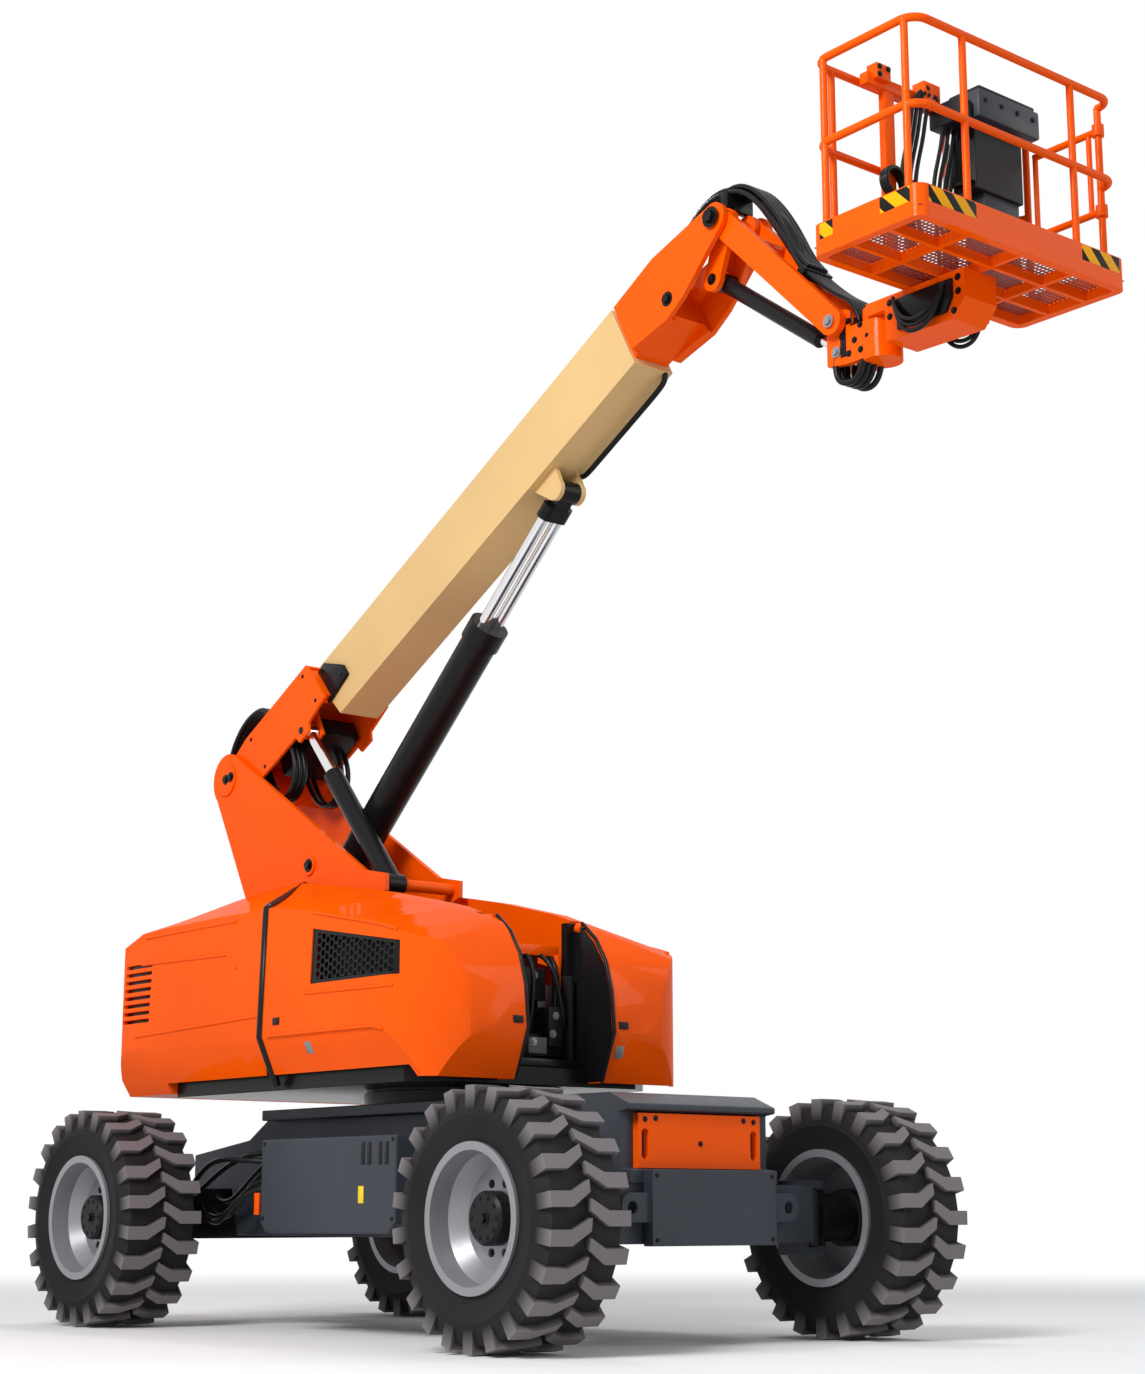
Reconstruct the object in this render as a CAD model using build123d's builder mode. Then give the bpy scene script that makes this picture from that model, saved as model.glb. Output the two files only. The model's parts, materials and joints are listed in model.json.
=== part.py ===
"""Boom lift with a telescopic boom, a jib and a turning platform.

Millimetres, +Z up, +X ahead (the platform end), +Y to the machine's left.
The origin is on the ground under the middle of the whole machine.
Side views are drawn on planes whose own x runs from the swing axis.
"""
import os
from math import cos, hypot, radians, sin

from build123d import *

os.makedirs("parts", exist_ok=True)

# Whole machine
SWING_X = -901.0
RUN_FIT = 0.05
SEAT_FIT = 0.2

# Wheels
WHEELBASE = 3820.0
TRACK = 2312.0
TYRE_D = 1250.0
TYRE_W = 490.0
RIM_D = 712.0
SEAT_R = 330.0
SPINDLE_R = 60.0
KINGPIN_IN = 296.0
KINGPIN_R = 35.0
SHOULDER_IN = 71.0
LUGS = 22

# Chassis
HULL_HALF = 500.0
AXLE_TOP = 790.0
AXLE_LOW = 500.0
BEAM_HALF = 420.0
DECK_Z = 1240.0
DECK_T = 60.0
BOX_HALF = 900.0
EYE_D = 60.0
EYE_T = 30.0
REAR_EYE_Y = 420.0
FRONT_EYE_Y = 530.0
EYE_DROP = 60.0

# Swing bearing and turntable
RING_R = 560.0
RING_BORE_R = 430.0
RING_TOP = 1310.0
BASE_Z = 1330.0
BASE_T = 100.0
GAP_HALF = 300.0
TOWER_IN = 255.0
TOWER_T = 30.0
WALL = 25.0
BELT_Z = 1620.0
COVER_Z = 1350.0

# Boom
PIVOT_X = -2200.0
PIVOT_Z = 3400.0
PIVOT_R = 60.0
BOOM_TILT = 28.3
TUBE_HALF = 140.0
TUBE_TOP = 155.0
TUBE_BOTTOM = -255.0
TUBE_END = 4280.0
TUBE_WALL = 12.0
BASE_HALF = 245.0
FLY_HALF = 118.0
FLY_TOP = 112.0
FLY_BOTTOM = -212.0
FLY_TAIL = 1150.0
HEAD_U = 5171.0
HEAD_V = -44.0
HEAD_R = 35.0
LUG_U = 3358.0
LUG_V = -366.0
LUG_R = 35.0

# Cylinders: pins are (ahead of the swing axis, height)
LIFT_BASE = (-1200.0, 2730.0)
LIFT_BARREL = 1920.0
LIFT_ROD = 1980.0
LIFT_R = 108.0
LIFT_ROD_R = 34.0
LIFT_ROD_Y = 50.0
LEVEL_Y = 180.0
LEVEL_R = 62.0
LEVEL_BASE = (-470.0, 2550.0)
LEVEL_TUBE_R = 35.0
LEVEL_PIN_R = 24.0
LEVEL_EYE = (-1400.0, 3610.0)
LEVEL_BARREL = 992.0
LEVEL_ROD = 1030.0
LEVEL_ROD_R = 35.0
JIB_BASE = (2270.0, 5520.0)
JIB_EYE = (3176.0, 4849.0)
JIB_BARREL = 880.0
JIB_ROD = 860.0
JIB_ROD_R = 22.0

# Jib and platform
JIB_PIN = (3181.0, 5000.0)
JIB_DEPTH = 140.0
JIB_PIN_R = 30.0
TURN_X = 3400.0
TURN_R = 100.0
TURN_Z = 4960.0
TURN_PIN_R = 45.0
PLAT_X = 3992.0
PLAT_LEN = 690.0
PLAT_WIDE = 1480.0
FLOOR_Z = 5031.0
FLOOR_T = 50.0
DECK_PLATE = 6.0
TOE_HIGH = 108.0
MID_RAIL = 508.0
TOP_RAIL = 936.0
RAIL_R = 20.0
POST_R = 18.0
RAIL_X = PLAT_LEN / 2 - 23.0
RAIL_Y = PLAT_WIDE / 2 - 23.0
GATE_HALF = 230.0

side = Plane(origin=(SWING_X, 0, 0), x_dir=(1, 0, 0), z_dir=(0, -1, 0))
plan = Plane(origin=(SWING_X, 0, 0))
tilt = radians(BOOM_TILT)
boom = Plane(
    origin=(SWING_X + PIVOT_X, 0, PIVOT_Z),
    x_dir=(cos(tilt), 0, sin(tilt)),
    z_dir=(0, -1, 0),
)
head = (
    PIVOT_X + HEAD_U * cos(tilt) - HEAD_V * sin(tilt),
    PIVOT_Z + HEAD_U * sin(tilt) + HEAD_V * cos(tilt),
)
lug = (
    PIVOT_X + LUG_U * cos(tilt) - LUG_V * sin(tilt),
    PIVOT_Z + LUG_U * sin(tilt) + LUG_V * cos(tilt),
)
jib_len = hypot(JIB_PIN[0] - head[0], JIB_PIN[1] - head[1])
jib = Plane(
    origin=(SWING_X + head[0], 0, head[1]),
    x_dir=(JIB_PIN[0] - head[0], 0, JIB_PIN[1] - head[1]),
    z_dir=(0, -1, 0),
)
half_base = WHEELBASE / 2
kingpin_y = TRACK / 2 - KINGPIN_IN
shoulder_y = TRACK / 2 - SHOULDER_IN
mid_rail_z = FLOOR_Z + FLOOR_T + DECK_PLATE + MID_RAIL
top_rail_z = FLOOR_Z + FLOOR_T + DECK_PLATE + TOP_RAIL
deck = Plane(origin=(SWING_X + PLAT_X, 0, FLOOR_Z + FLOOR_T + DECK_PLATE))


def cross(x):
    """Plane across the machine, x ahead of the swing axis."""
    return Plane(origin=(SWING_X + x, 0, 0), x_dir=(0, 1, 0), z_dir=(1, 0, 0))


def line(start, end, y=0.0):
    """Plane at a pin, square to the line from it to another pin."""
    return Plane(
        origin=(SWING_X + start[0], y, start[1]),
        x_dir=(0, 1, 0),
        z_dir=(end[0] - start[0], 0, end[1] - start[1]),
    )


def keep(piece, name):
    """Label one sub-part and write its file."""
    piece.part.label = name
    export_step(piece.part, f"parts/{name}.step")


# Chassis
HULL = [
    (736 - half_base, DECK_Z), (444 - half_base, 1077), (-half_base - 180, 1000), (-half_base - 180, AXLE_TOP),
    (260 - half_base, AXLE_TOP), (330 - half_base, 520), (half_base - 430, 520), (half_base - 310, AXLE_TOP),
    (half_base + 130, AXLE_TOP), (half_base + 130, 860), (half_base + 50, 867), (half_base + 50, 1140),
    (half_base + 120, 1150), (half_base + 120, 1180), (half_base - 30, DECK_Z),
]
with BuildPart() as chassis_frame:
    with BuildSketch(side):
        Polygon(*HULL, align=None)
    extrude(amount=HULL_HALF, both=True)
    with BuildSketch(plan.offset(DECK_Z - DECK_T)):
        with Locations((13, 0)):
            Rectangle(2374, 1200)
    extrude(amount=DECK_T)
    with BuildSketch(cross(-half_base - 180)):
        with Locations((-REAR_EYE_Y, AXLE_TOP - EYE_DROP), (REAR_EYE_Y, AXLE_TOP - EYE_DROP)):
            SlotCenterToCenter(2 * EYE_DROP, 2 * EYE_D, rotation=90)
            Circle(EYE_D / 2, mode=Mode.SUBTRACT)
    extrude(amount=EYE_T)
keep(chassis_frame, "chassis_frame")

with BuildPart() as side_boxes:
    with BuildSketch(side.offset(HULL_HALF)):
        Polygon((-690, 600), (-630, 540), (560, 540), (620, 600), (620, 1055), (-690, 1055), align=None)
    extrude(amount=BOX_HALF - HULL_HALF)
    mirror(about=Plane.XZ)
keep(side_boxes, "side_boxes")

beam_x = half_base + 130
beam_mid = (490 + 860) / 2
with BuildPart() as front_beam:
    with BuildSketch(side):
        Polygon((beam_x, 490), (beam_x + 70, 490), (beam_x + 70, 860), (beam_x, 860), align=None)
    extrude(amount=BEAM_HALF, both=True)
    with BuildSketch(cross(beam_x + 20)):
        for hand in (-1, 1):
            with Locations((hand * (FRONT_EYE_Y + BEAM_HALF - 20) / 2, beam_mid)):
                SlotCenterToCenter(FRONT_EYE_Y - BEAM_HALF + 20, 2.4 * EYE_D)
            with Locations((hand * FRONT_EYE_Y, beam_mid)):
                Circle(EYE_D / 2, mode=Mode.SUBTRACT)
    extrude(amount=EYE_T)
keep(front_beam, "front_beam")

cover_x = half_base + 50
with BuildPart() as front_cover:
    with BuildSketch(cross(cover_x)):
        with Locations((0, 1001)):
            Rectangle(830, 268)
        for hand in (-1, 1):
            with Locations((hand * 370, 985)):
                SlotOverall(150, 46, rotation=90, mode=Mode.SUBTRACT)
    extrude(amount=40)
keep(front_cover, "front_cover")

axle_mid = TYRE_D / 2
EAR_Z = 150.0
EAR_T = 40.0
with BuildPart() as front_axle:
    with BuildSketch(side):
        with Locations((WHEELBASE / 2, (AXLE_LOW + AXLE_TOP) / 2)):
            Rectangle(240, AXLE_TOP - AXLE_LOW)
    extrude(amount=kingpin_y - 100, both=True)
    for z in (axle_mid + EAR_Z, axle_mid - EAR_Z - EAR_T):
        for hand in (-1, 1):
            with BuildSketch(plan.offset(z)):
                with Locations((WHEELBASE / 2, hand * (kingpin_y - 80))):
                    Rectangle(170, 160)
                with Locations((WHEELBASE / 2, hand * kingpin_y)):
                    Circle(85)
                    Circle(KINGPIN_R + RUN_FIT, mode=Mode.SUBTRACT)
            extrude(amount=EAR_T)
    for hand in (-1, 1):
        with BuildSketch(side.offset(hand * (kingpin_y - 130))):
            with Locations((WHEELBASE / 2, axle_mid)):
                Rectangle(170, 2 * (EAR_Z + EAR_T))
        extrude(amount=30, both=True)
keep(front_axle, "front_axle")

with BuildPart() as rear_axle:
    with BuildSketch(side):
        with Locations((-WHEELBASE / 2, (AXLE_LOW + AXLE_TOP) / 2)):
            Rectangle(240, AXLE_TOP - AXLE_LOW)
    extrude(amount=kingpin_y, both=True)
    with BuildSketch(side):
        with Locations((-WHEELBASE / 2, axle_mid)):
            Circle(125)
    extrude(amount=shoulder_y, both=True)
    with BuildSketch(side):
        with Locations((-WHEELBASE / 2, axle_mid)):
            Circle(SPINDLE_R)
    extrude(amount=TRACK / 2, both=True)
keep(rear_axle, "rear_axle")

for hand, name in ((-1, "knuckle_right"), (1, "knuckle_left")):
    with BuildPart() as knuckle:
        with BuildSketch(plan.offset(axle_mid)):
            with Locations((WHEELBASE / 2, hand * kingpin_y)):
                Circle(75)
        extrude(amount=EAR_Z - 6, both=True)
        with BuildSketch(plan.offset(axle_mid)):
            with Locations((WHEELBASE / 2, hand * kingpin_y)):
                Circle(KINGPIN_R)
        extrude(amount=EAR_Z + EAR_T, both=True)
        with BuildSketch(side.offset(-hand * kingpin_y)):
            with Locations((WHEELBASE / 2, axle_mid)):
                Circle(125)
        extrude(amount=-hand * (shoulder_y - kingpin_y))
        with BuildSketch(side.offset(-hand * kingpin_y)):
            with Locations((WHEELBASE / 2, axle_mid)):
                Circle(SPINDLE_R)
        extrude(amount=-hand * (TRACK / 2 - kingpin_y))
    keep(knuckle, name)

# Wheels: o runs outward from the middle of the tyre, r from the axle line
half_w = TYRE_W / 2
tyre_r = TYRE_D / 2
flange_r = RIM_D / 2
CARCASS = [(-215, flange_r + 6), (-half_w, 480), (-205, 582), (205, 582), (half_w, 480), (215, flange_r + 6)]
half_pitch = 180 / LUGS
lug_tip = tyre_r * sin(radians(half_pitch))
lug_top = tyre_r * cos(radians(half_pitch))
LUG = [(0, -lug_tip), (0, 58 - lug_tip), (105, 36), (236, 36), (236, -36), (105, -36)]
LUG_ROOT = 500.0
with BuildPart() as lug_right:
    with BuildSketch(Plane(origin=(LUG_ROOT, 0, 0), x_dir=(0, -1, 0), z_dir=(1, 0, 0))):
        Polygon(*LUG, align=None)
    extrude(amount=lug_top - LUG_ROOT)
with BuildPart() as lug_left:
    mirror(lug_right.part, about=Plane.XZ)
with BuildPart() as tread:
    for o, r in CARCASS:
        with BuildSketch(Plane(origin=(0, o, 0), x_dir=(1, 0, 0), z_dir=(0, 1, 0))):
            RegularPolygon(r, 2 * LUGS, major_radius=False, rotation=half_pitch / 2)
    loft(ruled=True)
    with BuildSketch(Plane(origin=(0, -half_w, 0), x_dir=(1, 0, 0), z_dir=(0, 1, 0))):
        RegularPolygon(SEAT_R + SEAT_FIT, 2 * LUGS, major_radius=False, rotation=half_pitch / 2)
    extrude(amount=TYRE_W, mode=Mode.SUBTRACT)
    add([lug_right.part.rotate(Axis.Y, 90 + 2 * half_pitch * n) for n in range(LUGS)])
    add([lug_left.part.rotate(Axis.Y, 90 + half_pitch * (2 * n + 1)) for n in range(LUGS)])
RIM = [
    (233, 316), (233, flange_r), (215, flange_r), (215, SEAT_R), (110, SEAT_R), (90, 300), (-110, 300),
    (-130, SEAT_R), (-215, SEAT_R), (-215, flange_r), (-233, flange_r), (-233, 316), (-130, 286), (40, 286),
    (40, 95), (60, 95), (60, 240), (130, 305),
]
HUB = [
    (-60, SPINDLE_R + RUN_FIT), (-60, 150), (40, 150), (40, 95 - SEAT_FIT), (60, 95 - SEAT_FIT), (60, 128),
    (135, 128), (150, 113), (150, 0), (12, 0), (12, SPINDLE_R + RUN_FIT),
]
WHEELS = [
    # name, ahead of the swing axis, hand
    ("front_right", WHEELBASE / 2, -1),
    ("front_left", WHEELBASE / 2, 1),
    ("rear_right", -WHEELBASE / 2, -1),
    ("rear_left", -WHEELBASE / 2, 1),
]
for name, x, hand in WHEELS:
    centre = (SWING_X + x, hand * TRACK / 2, tyre_r)
    wheel = Plane(origin=centre, x_dir=(0, hand, 0), z_dir=(hand, 0, 0))
    spin = Axis(centre, (0, 1, 0))
    with BuildPart() as tyre:
        with Locations(centre):
            add(tread.part)
    keep(tyre, f"tyre_{name}")
    with BuildPart() as rim:
        with BuildSketch(wheel):
            Polygon(*RIM, align=None)
        revolve(axis=spin)
    keep(rim, f"rim_{name}")
    with BuildPart() as hub:
        with BuildSketch(wheel):
            Polygon(*HUB, align=None)
        revolve(axis=spin)
    keep(hub, f"hub_{name}")

# Swing bearing and turntable
with BuildPart() as swing_bearing:
    with BuildSketch(plan.offset(DECK_Z)):
        Circle(RING_R)
        Circle(RING_BORE_R, mode=Mode.SUBTRACT)
    extrude(amount=RING_TOP - DECK_Z)
keep(swing_bearing, "swing_bearing")

with BuildPart() as turntable_base:
    with BuildSketch(plan.offset(BASE_Z)):
        Polygon((-1750, -840), (600, -840), (740, -660), (740, 660), (600, 840), (-1750, 840), align=None)
    extrude(amount=BASE_T)
    with BuildSketch(plan.offset(RING_TOP + SEAT_FIT)):
        Circle(RING_R - 10)
    extrude(until=Until.NEXT)
    with BuildSketch(plan.offset(RING_TOP + SEAT_FIT)):
        Circle(RING_BORE_R - RUN_FIT)
    extrude(amount=-50)
keep(turntable_base, "turntable_base")

base_top = BASE_Z + BASE_T
TOWER = [
    (-2365, 3360), (-1990, 2700), (-1745, 2266), (-1745, base_top), (-560, base_top),
    (-560, 2430), (-400, 2500), (-400, 2600), (-610, 2640), (-2102, 3539), (-2200, 3400),
]
with BuildPart() as tower:
    with BuildSketch(side):
        Polygon(*TOWER, align=None)
        with Locations((PIVOT_X, PIVOT_Z)):
            Circle(170)
    extrude(amount=TOWER_IN + TOWER_T, both=True)
    with BuildSketch(side):
        with Locations((-1300, 2800)):
            Rectangle(3000, 3000)
    extrude(amount=TOWER_IN, both=True, mode=Mode.SUBTRACT)
    with BuildSketch(side):
        with Locations((PIVOT_X, PIVOT_Z)):
            Circle(PIVOT_R)
        Polygon((-1745, base_top), (-1705, base_top), (-1705, 2260), (-1745, 2260), align=None)
        Polygon((-760, base_top), (-560, base_top), (-560, 1650), (-600, 1650), align=None)
    extrude(amount=TOWER_IN, both=True)
    with BuildSketch(side.offset(-TOWER_IN)):
        with Locations(LEVEL_BASE):
            Circle(LEVEL_TUBE_R)
    extrude(amount=TOWER_IN + LEVEL_Y - LEVEL_R - 6)
    for hand in (-1, 1):
        with BuildSketch(side.offset(hand * (TOWER_IN + TOWER_T))):
            with Locations((PIVOT_X, PIVOT_Z)):
                Circle(105)
            with Locations(LIFT_BASE):
                Circle(60)
        extrude(amount=hand * 12)
        with BuildSketch(side.offset(hand * (LIFT_R + 10))):
            with Locations(LIFT_BASE):
                Circle(95)
        extrude(amount=hand * (TOWER_IN - LIFT_R - 10))
keep(tower, "tower")

# Covers: sections across the machine, right side
COVER = [
    # x, inner y, shoulder y, shoulder z, top z
    (-2330, 352, 960, 2230, 2420),
    (-2000, 352, 970, 2330, 2520),
    (-1750, 352, 975, 2340, 2560),
    (-1100, 352, 975, 2350, 2600),
    (-500, 350, 975, 2350, 2515),
    (-85, 334, 975, 2290, 2440),
    (443, 315, 970, 2190, 2320),
    (700, 308, 960, 2120, 2235),
    (980, GAP_HALF, 940, 1990, 2090),
]
COVER_HALF = 1000.0
COVER_LOW_HALF = 880.0
FRONT_CORNER = 480.0
REAR_CORNER = 220.0
cover_rear = COVER[0][0]
cover_front = COVER[-1][0]
ENDS = [
    (cover_rear + 100, COVER_Z - 60), (cover_rear, BELT_Z), (cover_rear + 80, 2300), (cover_rear + 140, 2700), (640, 2700),
    (700, 2262), (820, 2150), (905, 2020), (957, 1850), (cover_front, BELT_Z), (850, COVER_Z - 60),
]
SEAM_SIDE = -575.0
SEAM_TOP = -1130.0
SEAM_GAP = 20.0
HINGE_R = 15.0
HINGE_A = (-1150.0, -372.0, 2578.0)
HINGE_B = (700.0, -320.0, 2213.0)
HINGE_POST_X = 612.0
HOOD_WALL_REAR = -1096.0
hood_roof_low = COVER[3][4] - WALL - 3
LOUVRES = 8
LOUVRE_X = -2020.0
LOUVRE_Z = 1962.0
LOUVRE_PITCH = 48.0
LOUVRE_LONG = 330.0
LOUVRE_HIGH = 24.0
MESH_PITCH = 46.0
MESH_HOLE = 36.0
VENT = [(-100, 2195), (705, 2065), (705, 1886), (-100, 1886)]
VENT_OPEN = [(-80, 2172), (685, 2048), (685, 1904), (-80, 1904)]
VENT_MID_X = 302.0
VENT_MID_Z = 2040.0


def sections(first, last, wall):
    """Stations of the cover and its outline at each, set in by a wall."""
    low = COVER_Z if wall == 0 else COVER_Z - 100
    for x, y_in, y_top, z_side, z_top in COVER[first:last]:
        yield x, [
            (-y_in - wall, low), (wall - COVER_LOW_HALF, low), (wall - COVER_HALF, BELT_Z),
            (wall - y_top, z_side - wall * 0.8), (-y_in - 90, z_top - wall), (-y_in - wall, z_top - wall),
        ]


def ends(wall):
    """Side view that trims the ends of the cover, set in by a wall."""
    return [(x - wall if x > 0 else x + wall, z) for x, z in ENDS]


def pin_line(start, end):
    """Plane at one end of a hinge line, square to it."""
    along = (end[0] - start[0], end[1] - start[1], end[2] - start[2])
    return Plane(origin=(SWING_X + start[0], start[1], start[2]), z_dir=along)


def seam(end, gap):
    """Plan view of the cover from one end to the seam."""
    return [(end, -1100), (end, -100), (SEAM_TOP - gap, -100), (SEAM_TOP - gap, -345), (SEAM_SIDE - gap, -960),
            (SEAM_SIDE - gap, -1100)]


with BuildPart() as counterweight:
    for x, outline in sections(0, 3, 0):
        with BuildSketch(cross(x)):
            Polygon(*outline, align=None)
    loft(ruled=True)
    with BuildSketch(side):
        Polygon(*ends(0), align=None)
    extrude(amount=1200, both=True, mode=Mode.INTERSECT)
    with BuildSketch(plan.offset(COVER_Z - 100)):
        with Locations(((cover_front + cover_rear) / 2, 0)):
            Rectangle(cover_front - cover_rear, 2 * COVER_HALF)
        fillet(vertices().group_by(Axis.X)[-1], FRONT_CORNER)
        fillet(vertices().group_by(Axis.X)[0], REAR_CORNER)
    extrude(amount=1500, mode=Mode.INTERSECT)
    with BuildSketch(side.offset(COVER_HALF - 45)):
        with Locations((LOUVRE_X, LOUVRE_Z)):
            with GridLocations(0, LOUVRE_PITCH, 1, LOUVRES):
                SlotOverall(LOUVRE_LONG, LOUVRE_HIGH)
    extrude(amount=100, mode=Mode.SUBTRACT)
    with BuildSketch(side):
        Polygon((-2240, COVER_Z), (-2290, BELT_Z), (-2260, 1900), (-1750, 1900), (-1750, COVER_Z), align=None)
    extrude(amount=400)
    mirror(about=Plane.XZ)
keep(counterweight, "counterweight")

with BuildPart() as rear_space:
    for x, outline in sections(2, 5, WALL):
        with BuildSketch(cross(x)):
            Polygon(*outline, align=None)
    loft(ruled=True)

with BuildPart() as rear_cover_right:
    for x, outline in sections(2, 5, 0):
        with BuildSketch(cross(x)):
            Polygon(*outline, align=None)
    loft(ruled=True)
    add(rear_space.part, mode=Mode.SUBTRACT)
    with BuildSketch(cross(SEAM_TOP - SEAM_GAP)):
        Polygon(
            (-355, base_top), (-850, base_top), (-990, BELT_Z), (-965, 2340), (-440, 2575), (-355, 2575), align=None,
        )
    extrude(amount=-WALL)
    with BuildSketch(plan.offset(COVER_Z - 100)):
        Polygon(*seam(-1800, SEAM_GAP), align=None)
    extrude(amount=1500, mode=Mode.INTERSECT)
    with BuildSketch(pin_line(HINGE_A, HINGE_B).offset(-30)):
        Circle(HINGE_R)
    extrude(amount=150)
    with BuildSketch(side):
        Polygon((-1800, 1200), (-500, 1200), (-500, base_top), (-1800, base_top), align=None)
    extrude(amount=845, both=True, mode=Mode.SUBTRACT)
keep(rear_cover_right, "rear_cover_right")
with BuildPart() as rear_cover_left:
    mirror(rear_cover_right.part, about=Plane.XZ)
keep(rear_cover_left, "rear_cover_left")

with BuildPart() as hood_space:
    for x, outline in sections(2, 9, WALL):
        with BuildSketch(cross(x)):
            Polygon(*outline, align=None)
    loft(ruled=True)
    with BuildSketch(side):
        Polygon(*ends(WALL), align=None)
    extrude(amount=1200, both=True, mode=Mode.INTERSECT)
    with BuildSketch(plan.offset(COVER_Z - 100)):
        with Locations(((cover_front + cover_rear) / 2, 0)):
            Rectangle(cover_front - cover_rear - 2 * WALL, 2 * COVER_HALF - 2 * WALL)
        fillet(vertices().group_by(Axis.X)[-1], FRONT_CORNER - WALL)
        fillet(vertices().group_by(Axis.X)[0], REAR_CORNER - WALL)
    extrude(amount=1500, mode=Mode.INTERSECT)

with BuildPart() as hood_right:
    for x, outline in sections(2, 9, 0):
        with BuildSketch(cross(x)):
            Polygon(*outline, align=None)
    loft(ruled=True)
    with BuildSketch(side):
        Polygon(*ends(0), align=None)
    extrude(amount=1200, both=True, mode=Mode.INTERSECT)
    with BuildSketch(plan.offset(COVER_Z - 100)):
        with Locations(((cover_front + cover_rear) / 2, 0)):
            Rectangle(cover_front - cover_rear, 2 * COVER_HALF)
        fillet(vertices().group_by(Axis.X)[-1], FRONT_CORNER)
        fillet(vertices().group_by(Axis.X)[0], REAR_CORNER)
    extrude(amount=1500, mode=Mode.INTERSECT)
    add(hood_space.part, mode=Mode.SUBTRACT)
    with BuildSketch(side.offset(GAP_HALF - 10)):
        Polygon(
            (-1800, 1300), (750, 1300), (700, 1950), (-500, 2250), (HOOD_WALL_REAR, 2319),
            (HOOD_WALL_REAR, hood_roof_low), (-1800, hood_roof_low), align=None,
        )
    extrude(amount=WALL + 85, mode=Mode.SUBTRACT)
    with BuildSketch(pin_line(HINGE_A, HINGE_B).offset(60)):
        Circle(32)
    extrude(amount=50)
    with BuildSketch(pin_line(HINGE_B, HINGE_A).offset(5)):
        Circle(32)
    extrude(amount=50)
    with BuildSketch(pin_line(HINGE_B, HINGE_A).offset(60)):
        Circle(62)
    extrude(amount=66, mode=Mode.SUBTRACT)
    with BuildSketch(pin_line(HINGE_A, HINGE_B).offset(-60)):
        Circle(HINGE_R + RUN_FIT)
    extrude(amount=190, mode=Mode.SUBTRACT)
    with BuildSketch(pin_line(HINGE_B, HINGE_A).offset(-20)):
        Circle(HINGE_R + RUN_FIT)
    extrude(amount=90, mode=Mode.SUBTRACT)
    with BuildSketch(plan.offset(COVER_Z - 100)):
        Polygon(*seam(1100, 0), align=None)
    extrude(amount=1500, mode=Mode.INTERSECT)
    with BuildSketch(side.offset(900)):
        Polygon(*VENT, align=None)
    extrude(amount=200, mode=Mode.SUBTRACT)
keep(hood_right, "hood_right")
with BuildPart() as hood_left:
    mirror(hood_right.part, about=Plane.XZ)
keep(hood_left, "hood_left")

with BuildPart() as vent_space:
    for x, outline in sections(4, 9, 16):
        with BuildSketch(cross(x)):
            Polygon(*outline, align=None)
    loft(ruled=True)
    with BuildSketch(plan.offset(COVER_Z - 100)):
        with Locations(((cover_front + cover_rear) / 2, 0)):
            Rectangle(cover_front - cover_rear - 2 * 16, 2 * COVER_HALF - 2 * 16)
        fillet(vertices().group_by(Axis.X)[-1], FRONT_CORNER - 16)
        fillet(vertices().group_by(Axis.X)[0], REAR_CORNER - 16)
    extrude(amount=1500, mode=Mode.INTERSECT)

with BuildPart() as vent_right:
    for x, outline in sections(4, 9, 8):
        with BuildSketch(cross(x)):
            Polygon(*outline, align=None)
    loft(ruled=True)
    with BuildSketch(plan.offset(COVER_Z - 100)):
        with Locations(((cover_front + cover_rear) / 2, 0)):
            Rectangle(cover_front - cover_rear - 2 * 8, 2 * COVER_HALF - 2 * 8)
        fillet(vertices().group_by(Axis.X)[-1], FRONT_CORNER - 8)
        fillet(vertices().group_by(Axis.X)[0], REAR_CORNER - 8)
    extrude(amount=1500, mode=Mode.INTERSECT)
    add(vent_space.part, mode=Mode.SUBTRACT)
    with BuildSketch(side.offset(900)):
        Polygon(*VENT, align=None)
    extrude(amount=200, mode=Mode.INTERSECT)
    with BuildSketch(side.offset(900)):
        with Locations((VENT_MID_X, VENT_MID_Z)):
            with HexLocations(MESH_PITCH / 2, 18, 9):
                RegularPolygon(MESH_HOLE / 2, 6, major_radius=False)
        Polygon(*VENT_OPEN, align=None, mode=Mode.INTERSECT)
    extrude(amount=200, mode=Mode.SUBTRACT)
keep(vent_right, "vent_right")
with BuildPart() as vent_left:
    mirror(vent_right.part, about=Plane.XZ)
keep(vent_left, "vent_left")

post_share = (HINGE_B[0] - HINGE_POST_X) / (HINGE_B[0] - HINGE_A[0])
post_z = HINGE_B[2] + post_share * (HINGE_A[2] - HINGE_B[2])
with BuildPart() as hood_posts:
    with BuildSketch(plan.offset(base_top)):
        with Locations((HINGE_POST_X, -270)):
            Rectangle(50, 50)
    extrude(amount=post_z + 20 - base_top)
    with BuildSketch(plan.offset(post_z - 20)):
        with Locations((HINGE_POST_X, -300)):
            Rectangle(50, 100)
    extrude(amount=40)
    with BuildSketch(pin_line(HINGE_B, HINGE_A)):
        Circle(HINGE_R)
    extrude(amount=110)
    with BuildSketch(side):
        with Locations((HINGE_POST_X, 1560)):
            Rectangle(30, 120)
    extrude(amount=270)
    mirror(about=Plane.XZ)
keep(hood_posts, "hood_posts")

with BuildPart() as engine_block:
    with BuildSketch(plan.offset(base_top)):
        with Locations((50, -590)):
            Rectangle(800, 400)
    extrude(amount=420)
keep(engine_block, "engine_block")
with BuildPart() as tank_block:
    with BuildSketch(plan.offset(base_top)):
        with Locations((50, 590)):
            Rectangle(800, 400)
    extrude(amount=420)
keep(tank_block, "tank_block")

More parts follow.
